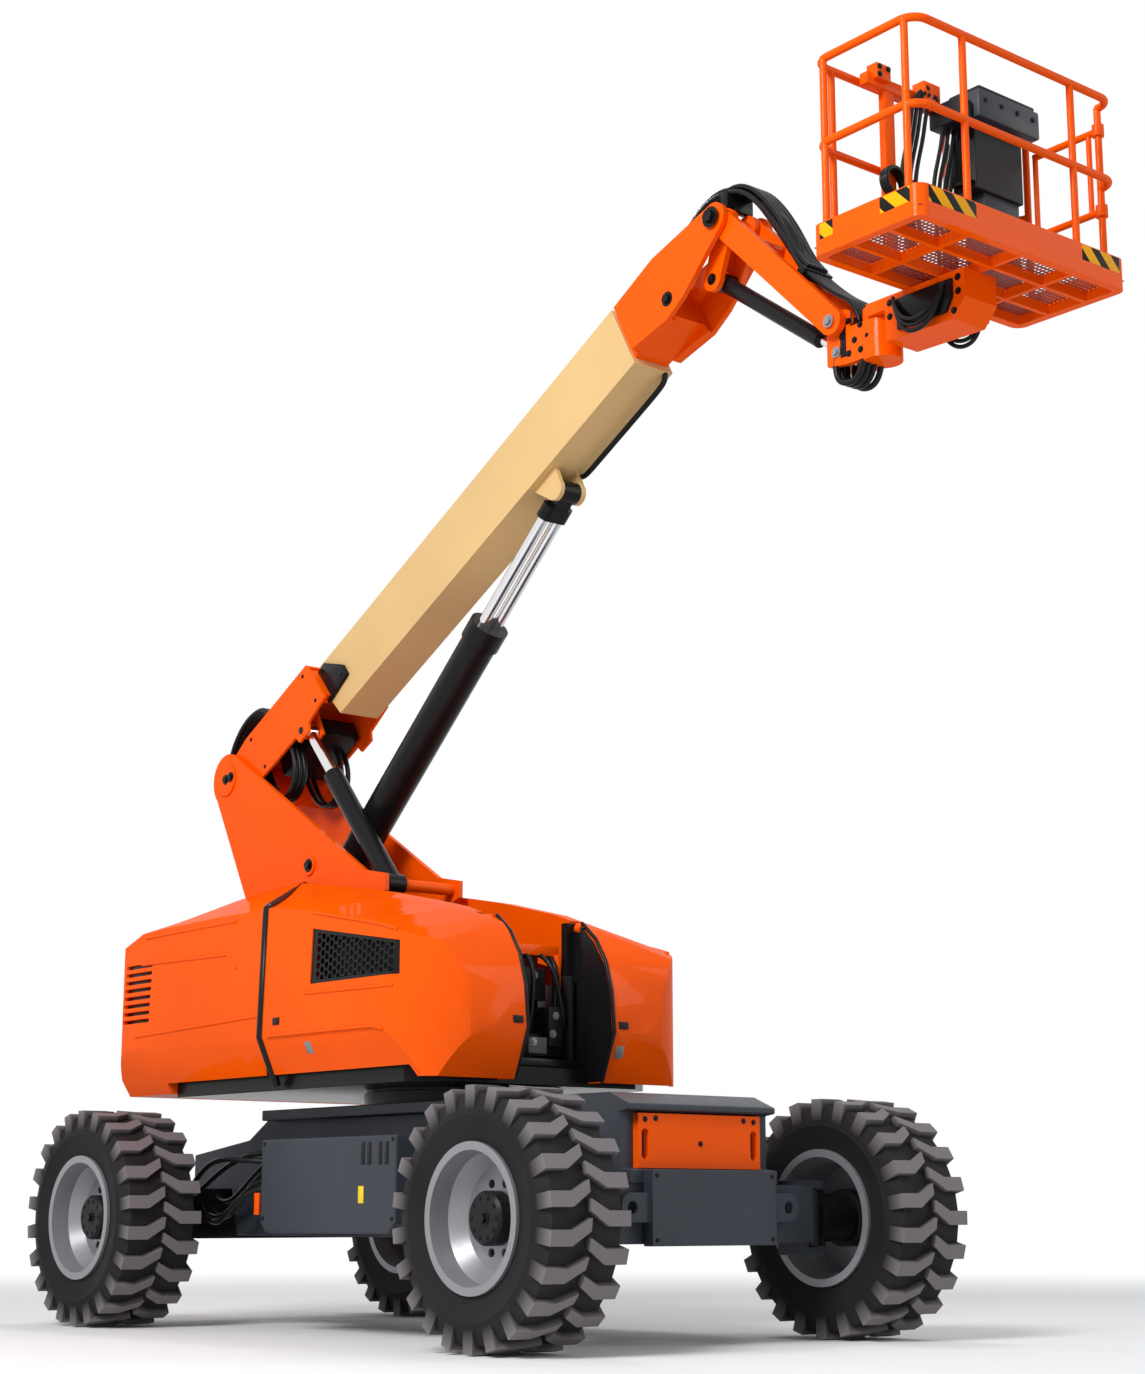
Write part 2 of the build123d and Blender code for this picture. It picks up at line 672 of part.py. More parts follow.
# Boom
tube_mid = (TUBE_TOP + TUBE_BOTTOM) / 2
with BuildPart() as boom_base:
    with BuildSketch(boom):
        Polygon((0, 110), (0, -110), (300, -195), (730, -195), (750, -250), (870, -250), (890, -195), (1110, -160),
                (1030, TUBE_TOP), (250, TUBE_TOP), align=None)
        Circle(110)
    extrude(amount=BASE_HALF, both=True)
    with BuildSketch(boom):
        Polygon((-120, -300), (1130, -300), (1130, TUBE_TOP - 20), (300, TUBE_TOP - 20), (120, 90), (-120, 90),
                align=None)
    extrude(amount=BASE_HALF - 20, both=True, mode=Mode.SUBTRACT)
    with BuildSketch(boom):
        Circle(110)
    extrude(amount=BASE_HALF, both=True)
    with BuildSketch(boom):
        Circle(PIVOT_R + RUN_FIT)
    extrude(amount=BASE_HALF, both=True, mode=Mode.SUBTRACT)
    with BuildSketch(boom):
        Polygon((1000, -110), (1080, -110), (1020, TUBE_TOP), (1000, TUBE_TOP), align=None)
    extrude(amount=BASE_HALF - 10, both=True)
    with BuildSketch(boom):
        Polygon((940, TUBE_BOTTOM - 20), (1200, TUBE_BOTTOM - 20), (1200, TUBE_TOP), (940, TUBE_TOP), align=None)
    extrude(amount=TUBE_HALF, both=True, mode=Mode.SUBTRACT)
    with BuildSketch(boom.offset(118)):
        Polygon((740, -250), (870, -250), (870, TUBE_TOP - 10), (740, TUBE_TOP - 10), align=None)
    extrude(amount=20)
    with BuildSketch(side.offset(120)):
        with Locations(LEVEL_EYE):
            Circle(LEVEL_PIN_R)
    extrude(amount=BASE_HALF - 120)
keep(boom_base, "boom_base")

with BuildPart() as boom_tube:
    with BuildSketch(boom):
        Polygon((950, TUBE_TOP), (1090, TUBE_BOTTOM), (TUBE_END, TUBE_BOTTOM), (TUBE_END, TUBE_TOP), align=None)
    extrude(amount=TUBE_HALF, both=True)
    with BuildSketch(boom):
        Polygon((940, TUBE_TOP - TUBE_WALL), (940, TUBE_BOTTOM + TUBE_WALL), (4180, TUBE_BOTTOM + TUBE_WALL),
                (4180, TUBE_TOP - TUBE_WALL), align=None)
    extrude(amount=TUBE_HALF - TUBE_WALL, both=True, mode=Mode.SUBTRACT)
    with BuildSketch(boom):
        Polygon((4170, FLY_TOP + SEAT_FIT), (4170, FLY_BOTTOM - SEAT_FIT), (4300, FLY_BOTTOM - SEAT_FIT),
                (4300, FLY_TOP + SEAT_FIT), align=None)
    extrude(amount=FLY_HALF + SEAT_FIT, both=True, mode=Mode.SUBTRACT)
    for hand in (-1, 1):
        with BuildSketch(boom.offset(hand * 64)):
            Polygon((LUG_U - 150, TUBE_BOTTOM), (LUG_U - 55, LUG_V - 35), (LUG_U + 62, LUG_V), (LUG_U + 70, TUBE_BOTTOM),
                    align=None)
            with Locations((LUG_U, LUG_V)):
                Circle(65)
        extrude(amount=hand * 28)
    with BuildSketch(boom):
        with Locations((LUG_U, LUG_V)):
            Circle(LUG_R)
    extrude(amount=92, both=True)
keep(boom_tube, "boom_tube")

with BuildPart() as fly:
    with BuildSketch(boom):
        Polygon((FLY_TAIL, FLY_TOP), (FLY_TAIL, FLY_BOTTOM), (4620, FLY_BOTTOM), (4620, FLY_TOP), align=None)
    extrude(amount=FLY_HALF, both=True)
    with BuildSketch(boom):
        Polygon((FLY_TAIL, TUBE_TOP - TUBE_WALL - SEAT_FIT), (FLY_TAIL, TUBE_BOTTOM + TUBE_WALL + SEAT_FIT),
                (FLY_TAIL + 100, TUBE_BOTTOM + TUBE_WALL + SEAT_FIT), (FLY_TAIL + 100, TUBE_TOP - TUBE_WALL - SEAT_FIT),
                align=None)
    extrude(amount=TUBE_HALF - TUBE_WALL - SEAT_FIT, both=True)
    with BuildSketch(boom):
        Polygon((FLY_TAIL - 10, FLY_TOP - 10), (FLY_TAIL - 10, FLY_BOTTOM + 10), (4600, FLY_BOTTOM + 10),
                (4600, FLY_TOP - 10), align=None)
    extrude(amount=FLY_HALF - 10, both=True, mode=Mode.SUBTRACT)
    for hand in (-1, 1):
        with BuildSketch(boom.offset(hand * FLY_HALF)):
            Polygon((4330, FLY_TOP), (4330, FLY_BOTTOM), (4620, FLY_BOTTOM - 60), (4780, FLY_BOTTOM - 40),
                    (HEAD_U + 10, HEAD_V - 85), (HEAD_U, HEAD_V + 85), (4700, FLY_TOP + 10), align=None)
            with Locations((HEAD_U, HEAD_V)):
                Circle(85)
        extrude(amount=hand * 62)
        with BuildSketch(boom.offset(hand * FLY_HALF)):
            with Locations((4950, -60)):
                Rectangle(640, 560)
        extrude(amount=hand * 32, mode=Mode.SUBTRACT)
    with BuildSketch(boom):
        with Locations((HEAD_U, HEAD_V)):
            Circle(HEAD_R)
    extrude(amount=200, both=True)
keep(fly, "fly")

# Jib
with BuildPart() as jib_mount:
    for hand in (-1, 1):
        with BuildSketch(side.offset(hand * 60)):
            Polygon((head[0] - 75, head[1]), (head[0] + 75, head[1]), (JIB_BASE[0] + 65, JIB_BASE[1]),
                    (JIB_BASE[0] - 65, JIB_BASE[1]), align=None)
            with Locations(head):
                Circle(75)
            with Locations(JIB_BASE):
                Circle(65)
            with Locations(head):
                Circle(HEAD_R + RUN_FIT, mode=Mode.SUBTRACT)
        extrude(amount=hand * 35)
    with BuildSketch(side):
        Polygon((head[0] - 90, head[1] - 60), (head[0] - 60, head[1] - 60), (JIB_BASE[0] - 10, JIB_BASE[1] + 90),
                (JIB_BASE[0] - 40, JIB_BASE[1] + 90), align=None)
    extrude(amount=65, both=True)
    with BuildSketch(side):
        with Locations(JIB_BASE):
            Circle(30)
    extrude(amount=65, both=True)
keep(jib_mount, "jib_mount")

with BuildPart() as jib_arm:
    for hand in (-1, 1):
        with BuildSketch(jib.offset(hand * 101)):
            with Locations((jib_len / 2, 0)):
                SlotCenterToCenter(jib_len, JIB_DEPTH)
        extrude(amount=hand * 44)
        with BuildSketch(jib.offset(hand * 90)):
            Circle(HEAD_R + RUN_FIT)
            with Locations((jib_len, 0)):
                Circle(JIB_PIN_R + RUN_FIT)
        extrude(amount=hand * 80, mode=Mode.SUBTRACT)
    with BuildSketch(jib):
        with Locations((300, 30), (780, 30)):
            Circle(28)
    extrude(amount=101, both=True)
keep(jib_arm, "jib_arm")

with BuildPart() as platform_support:
    for hand in (-1, 1):
        with BuildSketch(side.offset(hand * 60)):
            Polygon((3110, 4790), (3110, 5060), (3240, 5060), (3420, 4960), (3420, 4770), (3240, 4770), align=None)
        extrude(amount=hand * 35)
    with BuildSketch(side):
        with Locations(JIB_PIN):
            Circle(JIB_PIN_R)
    extrude(amount=155, both=True)
    with BuildSketch(plan.offset(4760)):
        with Locations((TURN_X, 0)):
            Circle(TURN_R)
    extrude(amount=TURN_Z - 4760)
    with BuildSketch(plan.offset(4820)):
        with Locations((TURN_X, 0)):
            Circle(TURN_PIN_R + RUN_FIT)
    extrude(amount=200, mode=Mode.SUBTRACT)
    with BuildSketch(plan.offset(TURN_Z)):
        with Locations((TURN_X, 0)):
            Circle(TURN_R + 60)
    extrude(amount=150, mode=Mode.SUBTRACT)
keep(platform_support, "platform_support")

# Platform
with BuildPart() as platform_arm:
    with BuildSketch(plan.offset(TURN_Z + SEAT_FIT)):
        with Locations((TURN_X, 0)):
            Circle(TURN_R - 5)
    extrude(amount=FLOOR_Z - TURN_Z - SEAT_FIT)
    with BuildSketch(plan.offset(TURN_Z + SEAT_FIT)):
        with Locations((TURN_X, 0)):
            Circle(TURN_PIN_R)
    extrude(amount=-110)
    with BuildSketch(side):
        Polygon((TURN_X, TURN_Z + 6), (TURN_X + 125, TURN_Z + 6), (TURN_X + 125, 4800), (3960, 4790), (4040, 4880),
                (4040, FLOOR_Z), (TURN_X, FLOOR_Z), align=None)
    extrude(amount=115, both=True)
keep(platform_arm, "platform_arm")

with BuildPart() as platform_floor:
    with BuildSketch(deck.offset(-FLOOR_T - DECK_PLATE)):
        RectangleRounded(PLAT_LEN, PLAT_WIDE, 60)
        RectangleRounded(PLAT_LEN - 100, PLAT_WIDE - 100, 20, mode=Mode.SUBTRACT)
        with Locations((0, -370), (0, 0), (0, 370)):
            Rectangle(PLAT_LEN - 80, 24)
        with Locations((-115, 0), (115, 0)):
            Rectangle(24, PLAT_WIDE - 80)
    extrude(amount=FLOOR_T)
keep(platform_floor, "platform_floor")

with BuildPart() as platform_deck:
    with BuildSketch(deck.offset(-DECK_PLATE)):
        RectangleRounded(PLAT_LEN - 12, PLAT_WIDE - 12, 54)
    extrude(amount=DECK_PLATE)
keep(platform_deck, "platform_deck")

with BuildPart() as toe_board:
    with BuildSketch(deck.offset(-DECK_PLATE)):
        RectangleRounded(PLAT_LEN, PLAT_WIDE, 60)
        RectangleRounded(PLAT_LEN - 10, PLAT_WIDE - 10, 55, mode=Mode.SUBTRACT)
    extrude(amount=TOE_HIGH)
keep(toe_board, "toe_board")

POSTS = [
    (RAIL_X, -390), (RAIL_X, 390), (260, -RAIL_Y), (-260, -RAIL_Y), (-RAIL_X, -600), (-RAIL_X, -210),
    (-RAIL_X, 210), (-RAIL_X, 600), (-GATE_HALF, RAIL_Y), (GATE_HALF, RAIL_Y),
]
with BuildPart() as guard_rail:
    for z in (mid_rail_z, top_rail_z):
        with BuildLine(Plane(origin=(SWING_X + PLAT_X, 0, z))) as ring:
            FilletPolyline(
                (-GATE_HALF, RAIL_Y), (-RAIL_X, RAIL_Y), (-RAIL_X, -RAIL_Y), (RAIL_X, -RAIL_Y), (RAIL_X, RAIL_Y),
                (GATE_HALF, RAIL_Y), radius=90,
            )
        with BuildSketch(Plane(origin=ring.line @ 0, z_dir=ring.line % 0)):
            Circle(RAIL_R)
        sweep()
    with BuildSketch(deck):
        with Locations(*POSTS):
            Circle(POST_R)
    extrude(amount=TOP_RAIL)
keep(guard_rail, "guard_rail")

with BuildPart() as gate:
    for z in (mid_rail_z - 150, top_rail_z - 150):
        with BuildSketch(Plane(origin=(SWING_X + PLAT_X + GATE_HALF, RAIL_Y, z))):
            Circle(POST_R + 12)
            Circle(POST_R + RUN_FIT, mode=Mode.SUBTRACT)
        extrude(amount=60)
        with BuildSketch(Plane(origin=(SWING_X + PLAT_X + GATE_HALF - POST_R - 4, RAIL_Y, z + 30), z_dir=(-1, 0, 0))):
            Circle(POST_R)
        extrude(amount=2 * GATE_HALF - 2 * POST_R - 40)
    with BuildSketch(Plane(origin=(SWING_X + PLAT_X, RAIL_Y, mid_rail_z - 120))):
        with Locations((-GATE_HALF + 60, 0), (GATE_HALF - 60, 0)):
            Circle(14)
    extrude(amount=top_rail_z - mid_rail_z)
keep(gate, "gate")

with BuildPart() as control_console:
    with BuildSketch(Plane(origin=(SWING_X + PLAT_X, 0, 0), x_dir=(1, 0, 0), z_dir=(0, -1, 0)).offset(-590)):
        Polygon((-RAIL_X + RAIL_R, mid_rail_z + 5), (-150, mid_rail_z + 5), (-150, top_rail_z - 93), (-90, top_rail_z - 23),
                (-100, top_rail_z + 57), (-RAIL_X + RAIL_R, top_rail_z + 107), align=None)
    extrude(amount=360)
keep(control_console, "control_console")

# Cylinders
with BuildPart() as lift_barrel:
    with BuildSketch(line(LIFT_BASE, lug)):
        Circle(LIFT_R)
    extrude(amount=LIFT_BARREL)
    with BuildSketch(line(LIFT_BASE, lug).offset(LIFT_BARREL)):
        Circle(LIFT_R + 12)
    extrude(amount=-130)
    with BuildSketch(side):
        with Locations(LIFT_BASE):
            Circle(90)
    extrude(amount=LIFT_R, both=True)
    with BuildSketch(line(LIFT_BASE, lug).offset(60)):
        with Locations((-LIFT_ROD_Y, 0), (LIFT_ROD_Y, 0)):
            Circle(LIFT_ROD_R + RUN_FIT)
    extrude(amount=LIFT_BARREL, mode=Mode.SUBTRACT)
keep(lift_barrel, "lift_barrel")

YOKE = 190.0
with BuildPart() as lift_rods:
    with BuildSketch(line(lug, LIFT_BASE).offset(YOKE)):
        with Locations((-LIFT_ROD_Y, 0), (LIFT_ROD_Y, 0)):
            Circle(LIFT_ROD_R)
    extrude(amount=LIFT_ROD - YOKE)
keep(lift_rods, "lift_rods")

with BuildPart() as lift_yoke:
    with BuildSketch(side):
        with Locations(lug):
            Circle(62)
    extrude(amount=58, both=True)
    with BuildSketch(line(lug, LIFT_BASE)):
        Rectangle(100, 84)
    extrude(amount=110)
    with BuildSketch(line(lug, LIFT_BASE).offset(100)):
        SlotOverall(196, 92)
    extrude(amount=YOKE - 100)
    with BuildSketch(side):
        with Locations(lug):
            Circle(LUG_R + RUN_FIT)
    extrude(amount=120, both=True, mode=Mode.SUBTRACT)
keep(lift_yoke, "lift_yoke")

with BuildPart() as level_barrel:
    with BuildSketch(line(LEVEL_BASE, LEVEL_EYE, -LEVEL_Y)):
        Circle(LEVEL_R)
    extrude(amount=LEVEL_BARREL)
    with BuildSketch(side.offset(LEVEL_Y - LEVEL_R)):
        with Locations(LEVEL_BASE):
            Circle(LEVEL_R)
    extrude(amount=2 * LEVEL_R)
    with BuildSketch(line(LEVEL_BASE, LEVEL_EYE, -LEVEL_Y).offset(50)):
        Circle(LEVEL_ROD_R + RUN_FIT)
    extrude(amount=LEVEL_BARREL, mode=Mode.SUBTRACT)
keep(level_barrel, "level_barrel")

with BuildPart() as level_rod:
    with BuildSketch(line(LEVEL_EYE, LEVEL_BASE, -LEVEL_Y)):
        Circle(LEVEL_ROD_R)
    extrude(amount=LEVEL_ROD)
    with BuildSketch(side.offset(LEVEL_Y - LEVEL_ROD_R)):
        with Locations(LEVEL_EYE):
            Circle(52)
    extrude(amount=2 * LEVEL_ROD_R)
    with BuildSketch(side.offset(LEVEL_Y - 50)):
        with Locations(LEVEL_EYE):
            Circle(LEVEL_PIN_R + RUN_FIT)
    extrude(amount=100, mode=Mode.SUBTRACT)
keep(level_rod, "level_rod")

with BuildPart() as jib_barrel:
    with BuildSketch(line(JIB_BASE, JIB_EYE)):
        Circle(45)
    extrude(amount=JIB_BARREL)
    with BuildSketch(side):
        with Locations(JIB_BASE):
            Circle(52)
    extrude(amount=54, both=True)
    with BuildSketch(line(JIB_BASE, JIB_EYE).offset(60)):
        Circle(JIB_ROD_R + RUN_FIT)
    extrude(amount=JIB_BARREL, mode=Mode.SUBTRACT)
    with BuildSketch(side):
        with Locations(JIB_BASE):
            Circle(30 + RUN_FIT)
    extrude(amount=60, both=True, mode=Mode.SUBTRACT)
keep(jib_barrel, "jib_barrel")

with BuildPart() as jib_rod:
    with BuildSketch(line(JIB_EYE, JIB_BASE)):
        Circle(JIB_ROD_R)
    extrude(amount=JIB_ROD)
    with BuildSketch(side):
        with Locations(JIB_EYE):
            Circle(42)
    extrude(amount=50, both=True)
keep(jib_rod, "jib_rod")
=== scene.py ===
# %% [markdown]
# The looks of a boom lift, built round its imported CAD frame.
# The frame gives every rigid piece its place and size, in metres, with +Z up and +X ahead.
# Each cell below dresses one kind of piece: paint, tyres, bolts, grilles, hoses and the work platform.

# %% Load the frame
import json
from math import cos, pi, radians, sin

import bmesh
import bpy
from mathutils import Matrix, Vector


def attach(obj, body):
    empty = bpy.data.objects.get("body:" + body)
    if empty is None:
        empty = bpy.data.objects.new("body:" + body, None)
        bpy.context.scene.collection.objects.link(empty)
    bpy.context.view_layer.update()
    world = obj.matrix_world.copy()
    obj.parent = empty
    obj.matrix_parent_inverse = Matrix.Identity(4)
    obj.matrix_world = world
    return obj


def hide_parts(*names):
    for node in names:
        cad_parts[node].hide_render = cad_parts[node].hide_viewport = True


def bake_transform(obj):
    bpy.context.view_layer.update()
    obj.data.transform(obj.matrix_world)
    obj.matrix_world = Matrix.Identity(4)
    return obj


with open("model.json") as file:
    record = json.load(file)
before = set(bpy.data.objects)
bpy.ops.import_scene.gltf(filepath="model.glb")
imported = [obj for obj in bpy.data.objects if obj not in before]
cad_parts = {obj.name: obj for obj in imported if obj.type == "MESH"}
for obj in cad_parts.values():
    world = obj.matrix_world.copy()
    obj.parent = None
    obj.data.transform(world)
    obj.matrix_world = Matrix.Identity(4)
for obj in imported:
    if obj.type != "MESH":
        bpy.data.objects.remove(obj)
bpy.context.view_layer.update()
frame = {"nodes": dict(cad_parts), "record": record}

nodes = frame["nodes"]
behaviour = frame["record"]["behaviour"]
body_of_node = {node: body for body, members in behaviour["bodies"].items() for node in members}

# %% [markdown]
# Three places help to set a piece where the real one is.
# The swing axis is where the upper works turn on the chassis, and heights are from the ground.
# The boom leans, so pieces on it are placed by u along it and v above its pivot line.

# %% Places on the machine
SWING_X = -0.901
BOOM_PIVOT = Vector((SWING_X - 2.2, 0.0, 3.4))
BOOM_TILT = radians(28.3)
ALONG = Vector((cos(BOOM_TILT), 0.0, sin(BOOM_TILT)))
ABOVE = Vector((-sin(BOOM_TILT), 0.0, cos(BOOM_TILT)))
AHEAD = Vector((1.0, 0.0, 0.0))
UP = Vector((0.0, 0.0, 1.0))
RIGHT = Vector((0.0, -1.0, 0.0))
LEFT = Vector((0.0, 1.0, 0.0))
HANDS = (("right", -1), ("left", 1))


def at(x, y, z):
    """A point by its distance ahead of the swing axis, to the left, and above the ground."""
    return Vector((SWING_X + x, y, z))


def on_boom(u, v, y):
    """A point by its distance along the boom, above its pivot line, and to the left."""
    return BOOM_PIVOT + u * ALONG + v * ABOVE + Vector((0.0, y, 0.0))


print("boom pivot", tuple(round(c, 3) for c in BOOM_PIVOT))

# %% [markdown]
# The camera stands near the ground ahead of the machine's right front wheel and looks up a little.
# A long lens keeps the platform and the rear wheel in one upright picture.

# %% Camera
CAMERA_PLACE = at(11.146, -8.365, 0.647)
CAMERA_TURN = (radians(102.32), 0.0, radians(50.54))
LENS = 63.16
SENSOR = 36.0

scene = bpy.context.scene
camera_data = bpy.data.cameras.new("camera")
camera_data.sensor_fit = "VERTICAL"
camera_data.sensor_height = SENSOR
camera_data.lens = LENS
camera = bpy.data.objects.new("camera", camera_data)
camera.location = CAMERA_PLACE
camera.rotation_euler = CAMERA_TURN
scene.collection.objects.link(camera)
scene.camera = camera
scene.view_settings.view_transform = "Standard"
print("camera", tuple(round(c, 2) for c in camera.location))

# %% [markdown]
# Every finish is one Principled shader with two noise patterns on Object coordinates.
# The broad one drifts the colour a little, as paint and rubber do in use.
# The fine one varies the gloss.
# Values that don't vary are set on the shader's own sockets.

# %% Finishes
BROAD_SCALE = 1.7
COAT_ROUGH = 0.06
SMOOTHEST = 0.03
DENT_DEPTH = 0.002


def put(node, values):
    """Set a node's input sockets, by their names or places."""
    for socket, value in values.items():
        node.inputs[socket].default_value = value


def wire(tree, rows):
    """Link sockets, from rows of node, output, node and input."""
    for source, output, target, socket in rows:
        tree.links.new(source.outputs[output], target.inputs[socket])


def new_material(name):
    """A material, its tree of nodes and its Principled shader."""
    material = bpy.data.materials.new(name)
    material.use_nodes = True
    return material, material.node_tree, material.node_tree.nodes["Principled BSDF"]


def finish(
    name, colour, rough, metal=0.0, coat=0.0, drift=0.08, grain=30.0, rough_drift=0.08, bump=0.0, shine=0.35
):
    """A material whose colour and gloss drift slightly over the piece."""
    material, tree, shader = new_material(name)
    put(shader, {"Metallic": metal, "Coat Weight": coat, "Coat Roughness": COAT_ROUGH})
    put(shader, {"Specular IOR Level": shine})
    place = tree.nodes.new("ShaderNodeTexCoord")
    broad = tree.nodes.new("ShaderNodeTexNoise")
    put(broad, {"Scale": BROAD_SCALE, "Detail": 6.0})
    fine = tree.nodes.new("ShaderNodeTexNoise")
    put(fine, {"Scale": grain, "Detail": 3.0})
    ramp = tree.nodes.new("ShaderNodeValToRGB")
    ramp.color_ramp.elements[0].position = 0.3
    ramp.color_ramp.elements[0].color = (*(c * (1.0 - drift) for c in colour), 1.0)
    ramp.color_ramp.elements[1].position = 0.7
    ramp.color_ramp.elements[1].color = (*(min(1.0, c * (1.0 + drift)) for c in colour), 1.0)
    gloss = tree.nodes.new("ShaderNodeMapRange")
    put(gloss, {"To Min": max(SMOOTHEST, rough - rough_drift), "To Max": rough + rough_drift})
    wire(tree, [
        (place, "Object", broad, "Vector"),
        (place, "Object", fine, "Vector"),
        (broad, "Fac", ramp, "Fac"),
        (ramp, "Color", shader, "Base Color"),
        (fine, "Fac", gloss, "Value"),
        (gloss, "Result", shader, "Roughness"),
    ])
    if bump:
        dents = tree.nodes.new("ShaderNodeBump")
        put(dents, {"Strength": bump, "Distance": DENT_DEPTH})
        wire(tree, [(fine, "Fac", dents, "Height"), (dents, "Normal", shader, "Normal")])
    return material


FINISHES = {
    "orange_paint": dict(colour=(0.94, 0.1, 0.001), rough=0.4, coat=0.2, drift=0.04, shine=0.0),
    "cream_paint": dict(colour=(0.66, 0.44, 0.19), rough=0.4, coat=0.1, drift=0.05, shine=0.15),
    "slate_paint": dict(colour=(0.034, 0.039, 0.05), rough=0.42, drift=0.12, shine=0.25),
    "black_paint": dict(colour=(0.008, 0.008, 0.009), rough=0.26, drift=0.2, rough_drift=0.04, shine=0.14),
    "cast_grey": dict(colour=(0.12, 0.12, 0.12), rough=0.65, bump=0.3),
    "bare_mesh": dict(colour=(0.3, 0.07, 0.05), rough=0.5, metal=0.2),
    "dark_plastic": dict(colour=(0.013, 0.013, 0.015), rough=0.45, bump=0.1, grain=160.0, shine=0.14),
    "chrome_rod": dict(colour=(0.78, 0.78, 0.8), rough=0.12, metal=1.0, drift=0.02, rough_drift=0.03),
    "tyre_rubber": dict(
        colour=(0.016, 0.015, 0.016), rough=0.7, drift=0.3, bump=0.25, grain=60.0, shine=0.12
    ),
    "silver_paint": dict(colour=(0.27, 0.275, 0.29), rough=0.36, metal=0.4, drift=0.06),
    "hub_black": dict(colour=(0.01, 0.01, 0.011), rough=0.4, drift=0.2, shine=0.16),
}
finishes = {name: finish(name, **settings) for name, settings in FINISHES.items()}
slot_of_node = {row["node"]: row["material_slot"] for row in frame["record"]["subparts"]}
print("finishes", len(finishes))

# %% [markdown]
# A new piece is a mesh at the origin with its place in its vertices.
# It takes the finish named by its slot, unless another is given, and the body that carries it.

# %% Piece helpers
SHARP_ANGLE = radians(32)


def new_piece(name, mesh, body, slot, material=None):
    """Put a mesh in the scene as a piece that rides on one body."""
    piece = bpy.data.objects.new(name, mesh)
    scene.collection.objects.link(piece)
    mesh.materials.clear()
    mesh.materials.append(material or finishes[slot])
    if body:
        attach(piece, body)
    return piece


def settle(draft):
    """Turn a draft with its modifiers into a plain mesh, and remove the draft."""
    scene.collection.objects.link(draft)
    bpy.context.view_layer.update()
    graph = bpy.context.evaluated_depsgraph_get()
    mesh = bpy.data.meshes.new_from_object(draft.evaluated_get(graph))
    bpy.data.objects.remove(draft)
    return mesh


def mesh_of(form, name):
    """The mesh of an edited form, which is then let go."""
    mesh = bpy.data.meshes.new(name)
    form.to_mesh(mesh)
    form.free()
    return mesh


def smooth(mesh):
    """Shade a mesh smooth, with sharp edges where faces meet at a steep angle."""
    mesh.shade_smooth()
    mesh.set_sharp_from_angle(angle=SHARP_ANGLE)


def frame_at(place, axis):
    """The matrix that takes +Z to an axis and the origin to a place."""
    return Matrix.Translation(place) @ axis.to_track_quat("Z", "Y").to_matrix().to_4x4()


# %% [markdown]
# Plates and covers on the real machine have small rounded edges that catch the light.
# A CAD node is loose triangles, so a copy is merged, its flat faces joined, and a bevel added.
# The copy then stands for the node, which is hidden.

# %% Painted plates and covers
MERGE_GAP = 0.00002
FLAT_ANGLE = radians(0.6)
EDGE_ANGLE = radians(28)


def rounded_copy(node, width):
    """A copy of a CAD node with its edges rounded."""
    form = bmesh.new()
    form.from_mesh(nodes[node].data)
    bmesh.ops.remove_doubles(form, verts=form.verts, dist=MERGE_GAP)
    bmesh.ops.dissolve_limit(form, angle_limit=FLAT_ANGLE, verts=form.verts, edges=form.edges)
    mesh = mesh_of(form, node + "_draft")
    if "custom_normal" in mesh.attributes:
        mesh.attributes.remove(mesh.attributes["custom_normal"])
    smooth(mesh)
    draft = bpy.data.objects.new(node + "_draft", mesh)
    edge = draft.modifiers.new("edge", "BEVEL")
    edge.width = width
    edge.segments = 2
    edge.limit_method = "ANGLE"
    edge.angle_limit = EDGE_ANGLE
    edge.harden_normals = True
    piece = new_piece(node + "_shell", settle(draft), body_of_node[node], slot_of_node[node])
    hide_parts(node)
    return piece


ROUNDED = [
    # node, edge radius
    ("hood_right", 0.012), ("hood_left", 0.012), ("rear_cover_right", 0.012), ("rear_cover_left", 0.012),
    ("counterweight", 0.018), ("tower", 0.004), ("boom_base", 0.004), ("boom_tube", 0.006), ("fly", 0.004),
    ("jib_arm", 0.006), ("jib_mount", 0.004), ("chassis_frame", 0.008), ("side_boxes", 0.012),
    ("front_beam", 0.005), ("front_cover", 0.006), ("toe_board", 0.0015), ("platform_arm", 0.006),
    ("control_console", 0.008), ("turntable_base", 0.005), ("platform_support", 0.004),
    ("tyre_front_right", 0.012), ("tyre_front_left", 0.012), ("tyre_rear_right", 0.012),
    ("tyre_rear_left", 0.012),
]
shells = {node: rounded_copy(node, width) for node, width in ROUNDED}
for node, shown in nodes.items():
    shown.data.materials.clear()
    shown.data.materials.append(finishes[slot_of_node[node]])


def on_shell(node, aim):
    """The nearest point to an aim on a rounded cover, and the way out of it there."""
    return shells[node].closest_point_on_mesh(aim)[1:3]


print("rounded", len(ROUNDED), "kept", len(nodes) - len(ROUNDED))

# %% [markdown]
# A used tyre is dark on its sides and paler on the lugs, where it meets the ground.
# Each tyre's mesh carries a wear value, worked out from the distance to the axle.
# The rubber mixes a paler colour in by that value.

# %% Worn rubber
TREAD_START = 0.582
TREAD_END = 0.612


def worn(material, pale):
    """Mix a paler colour into a material where the mesh says it is worn."""
    tree = material.node_tree
    wear = tree.nodes.new("ShaderNodeAttribute")
    wear.attribute_name = "wear"
    mix = tree.nodes.new("ShaderNodeMix")
    mix.data_type = "RGBA"
    put(mix, {7: (*pale, 1.0)})
    wire(tree, [
        (wear, "Fac", mix, 0),
        (tree.nodes["Color Ramp"], "Color", mix, 6),
        (mix, 2, tree.nodes["Principled BSDF"], "Base Color"),
    ])


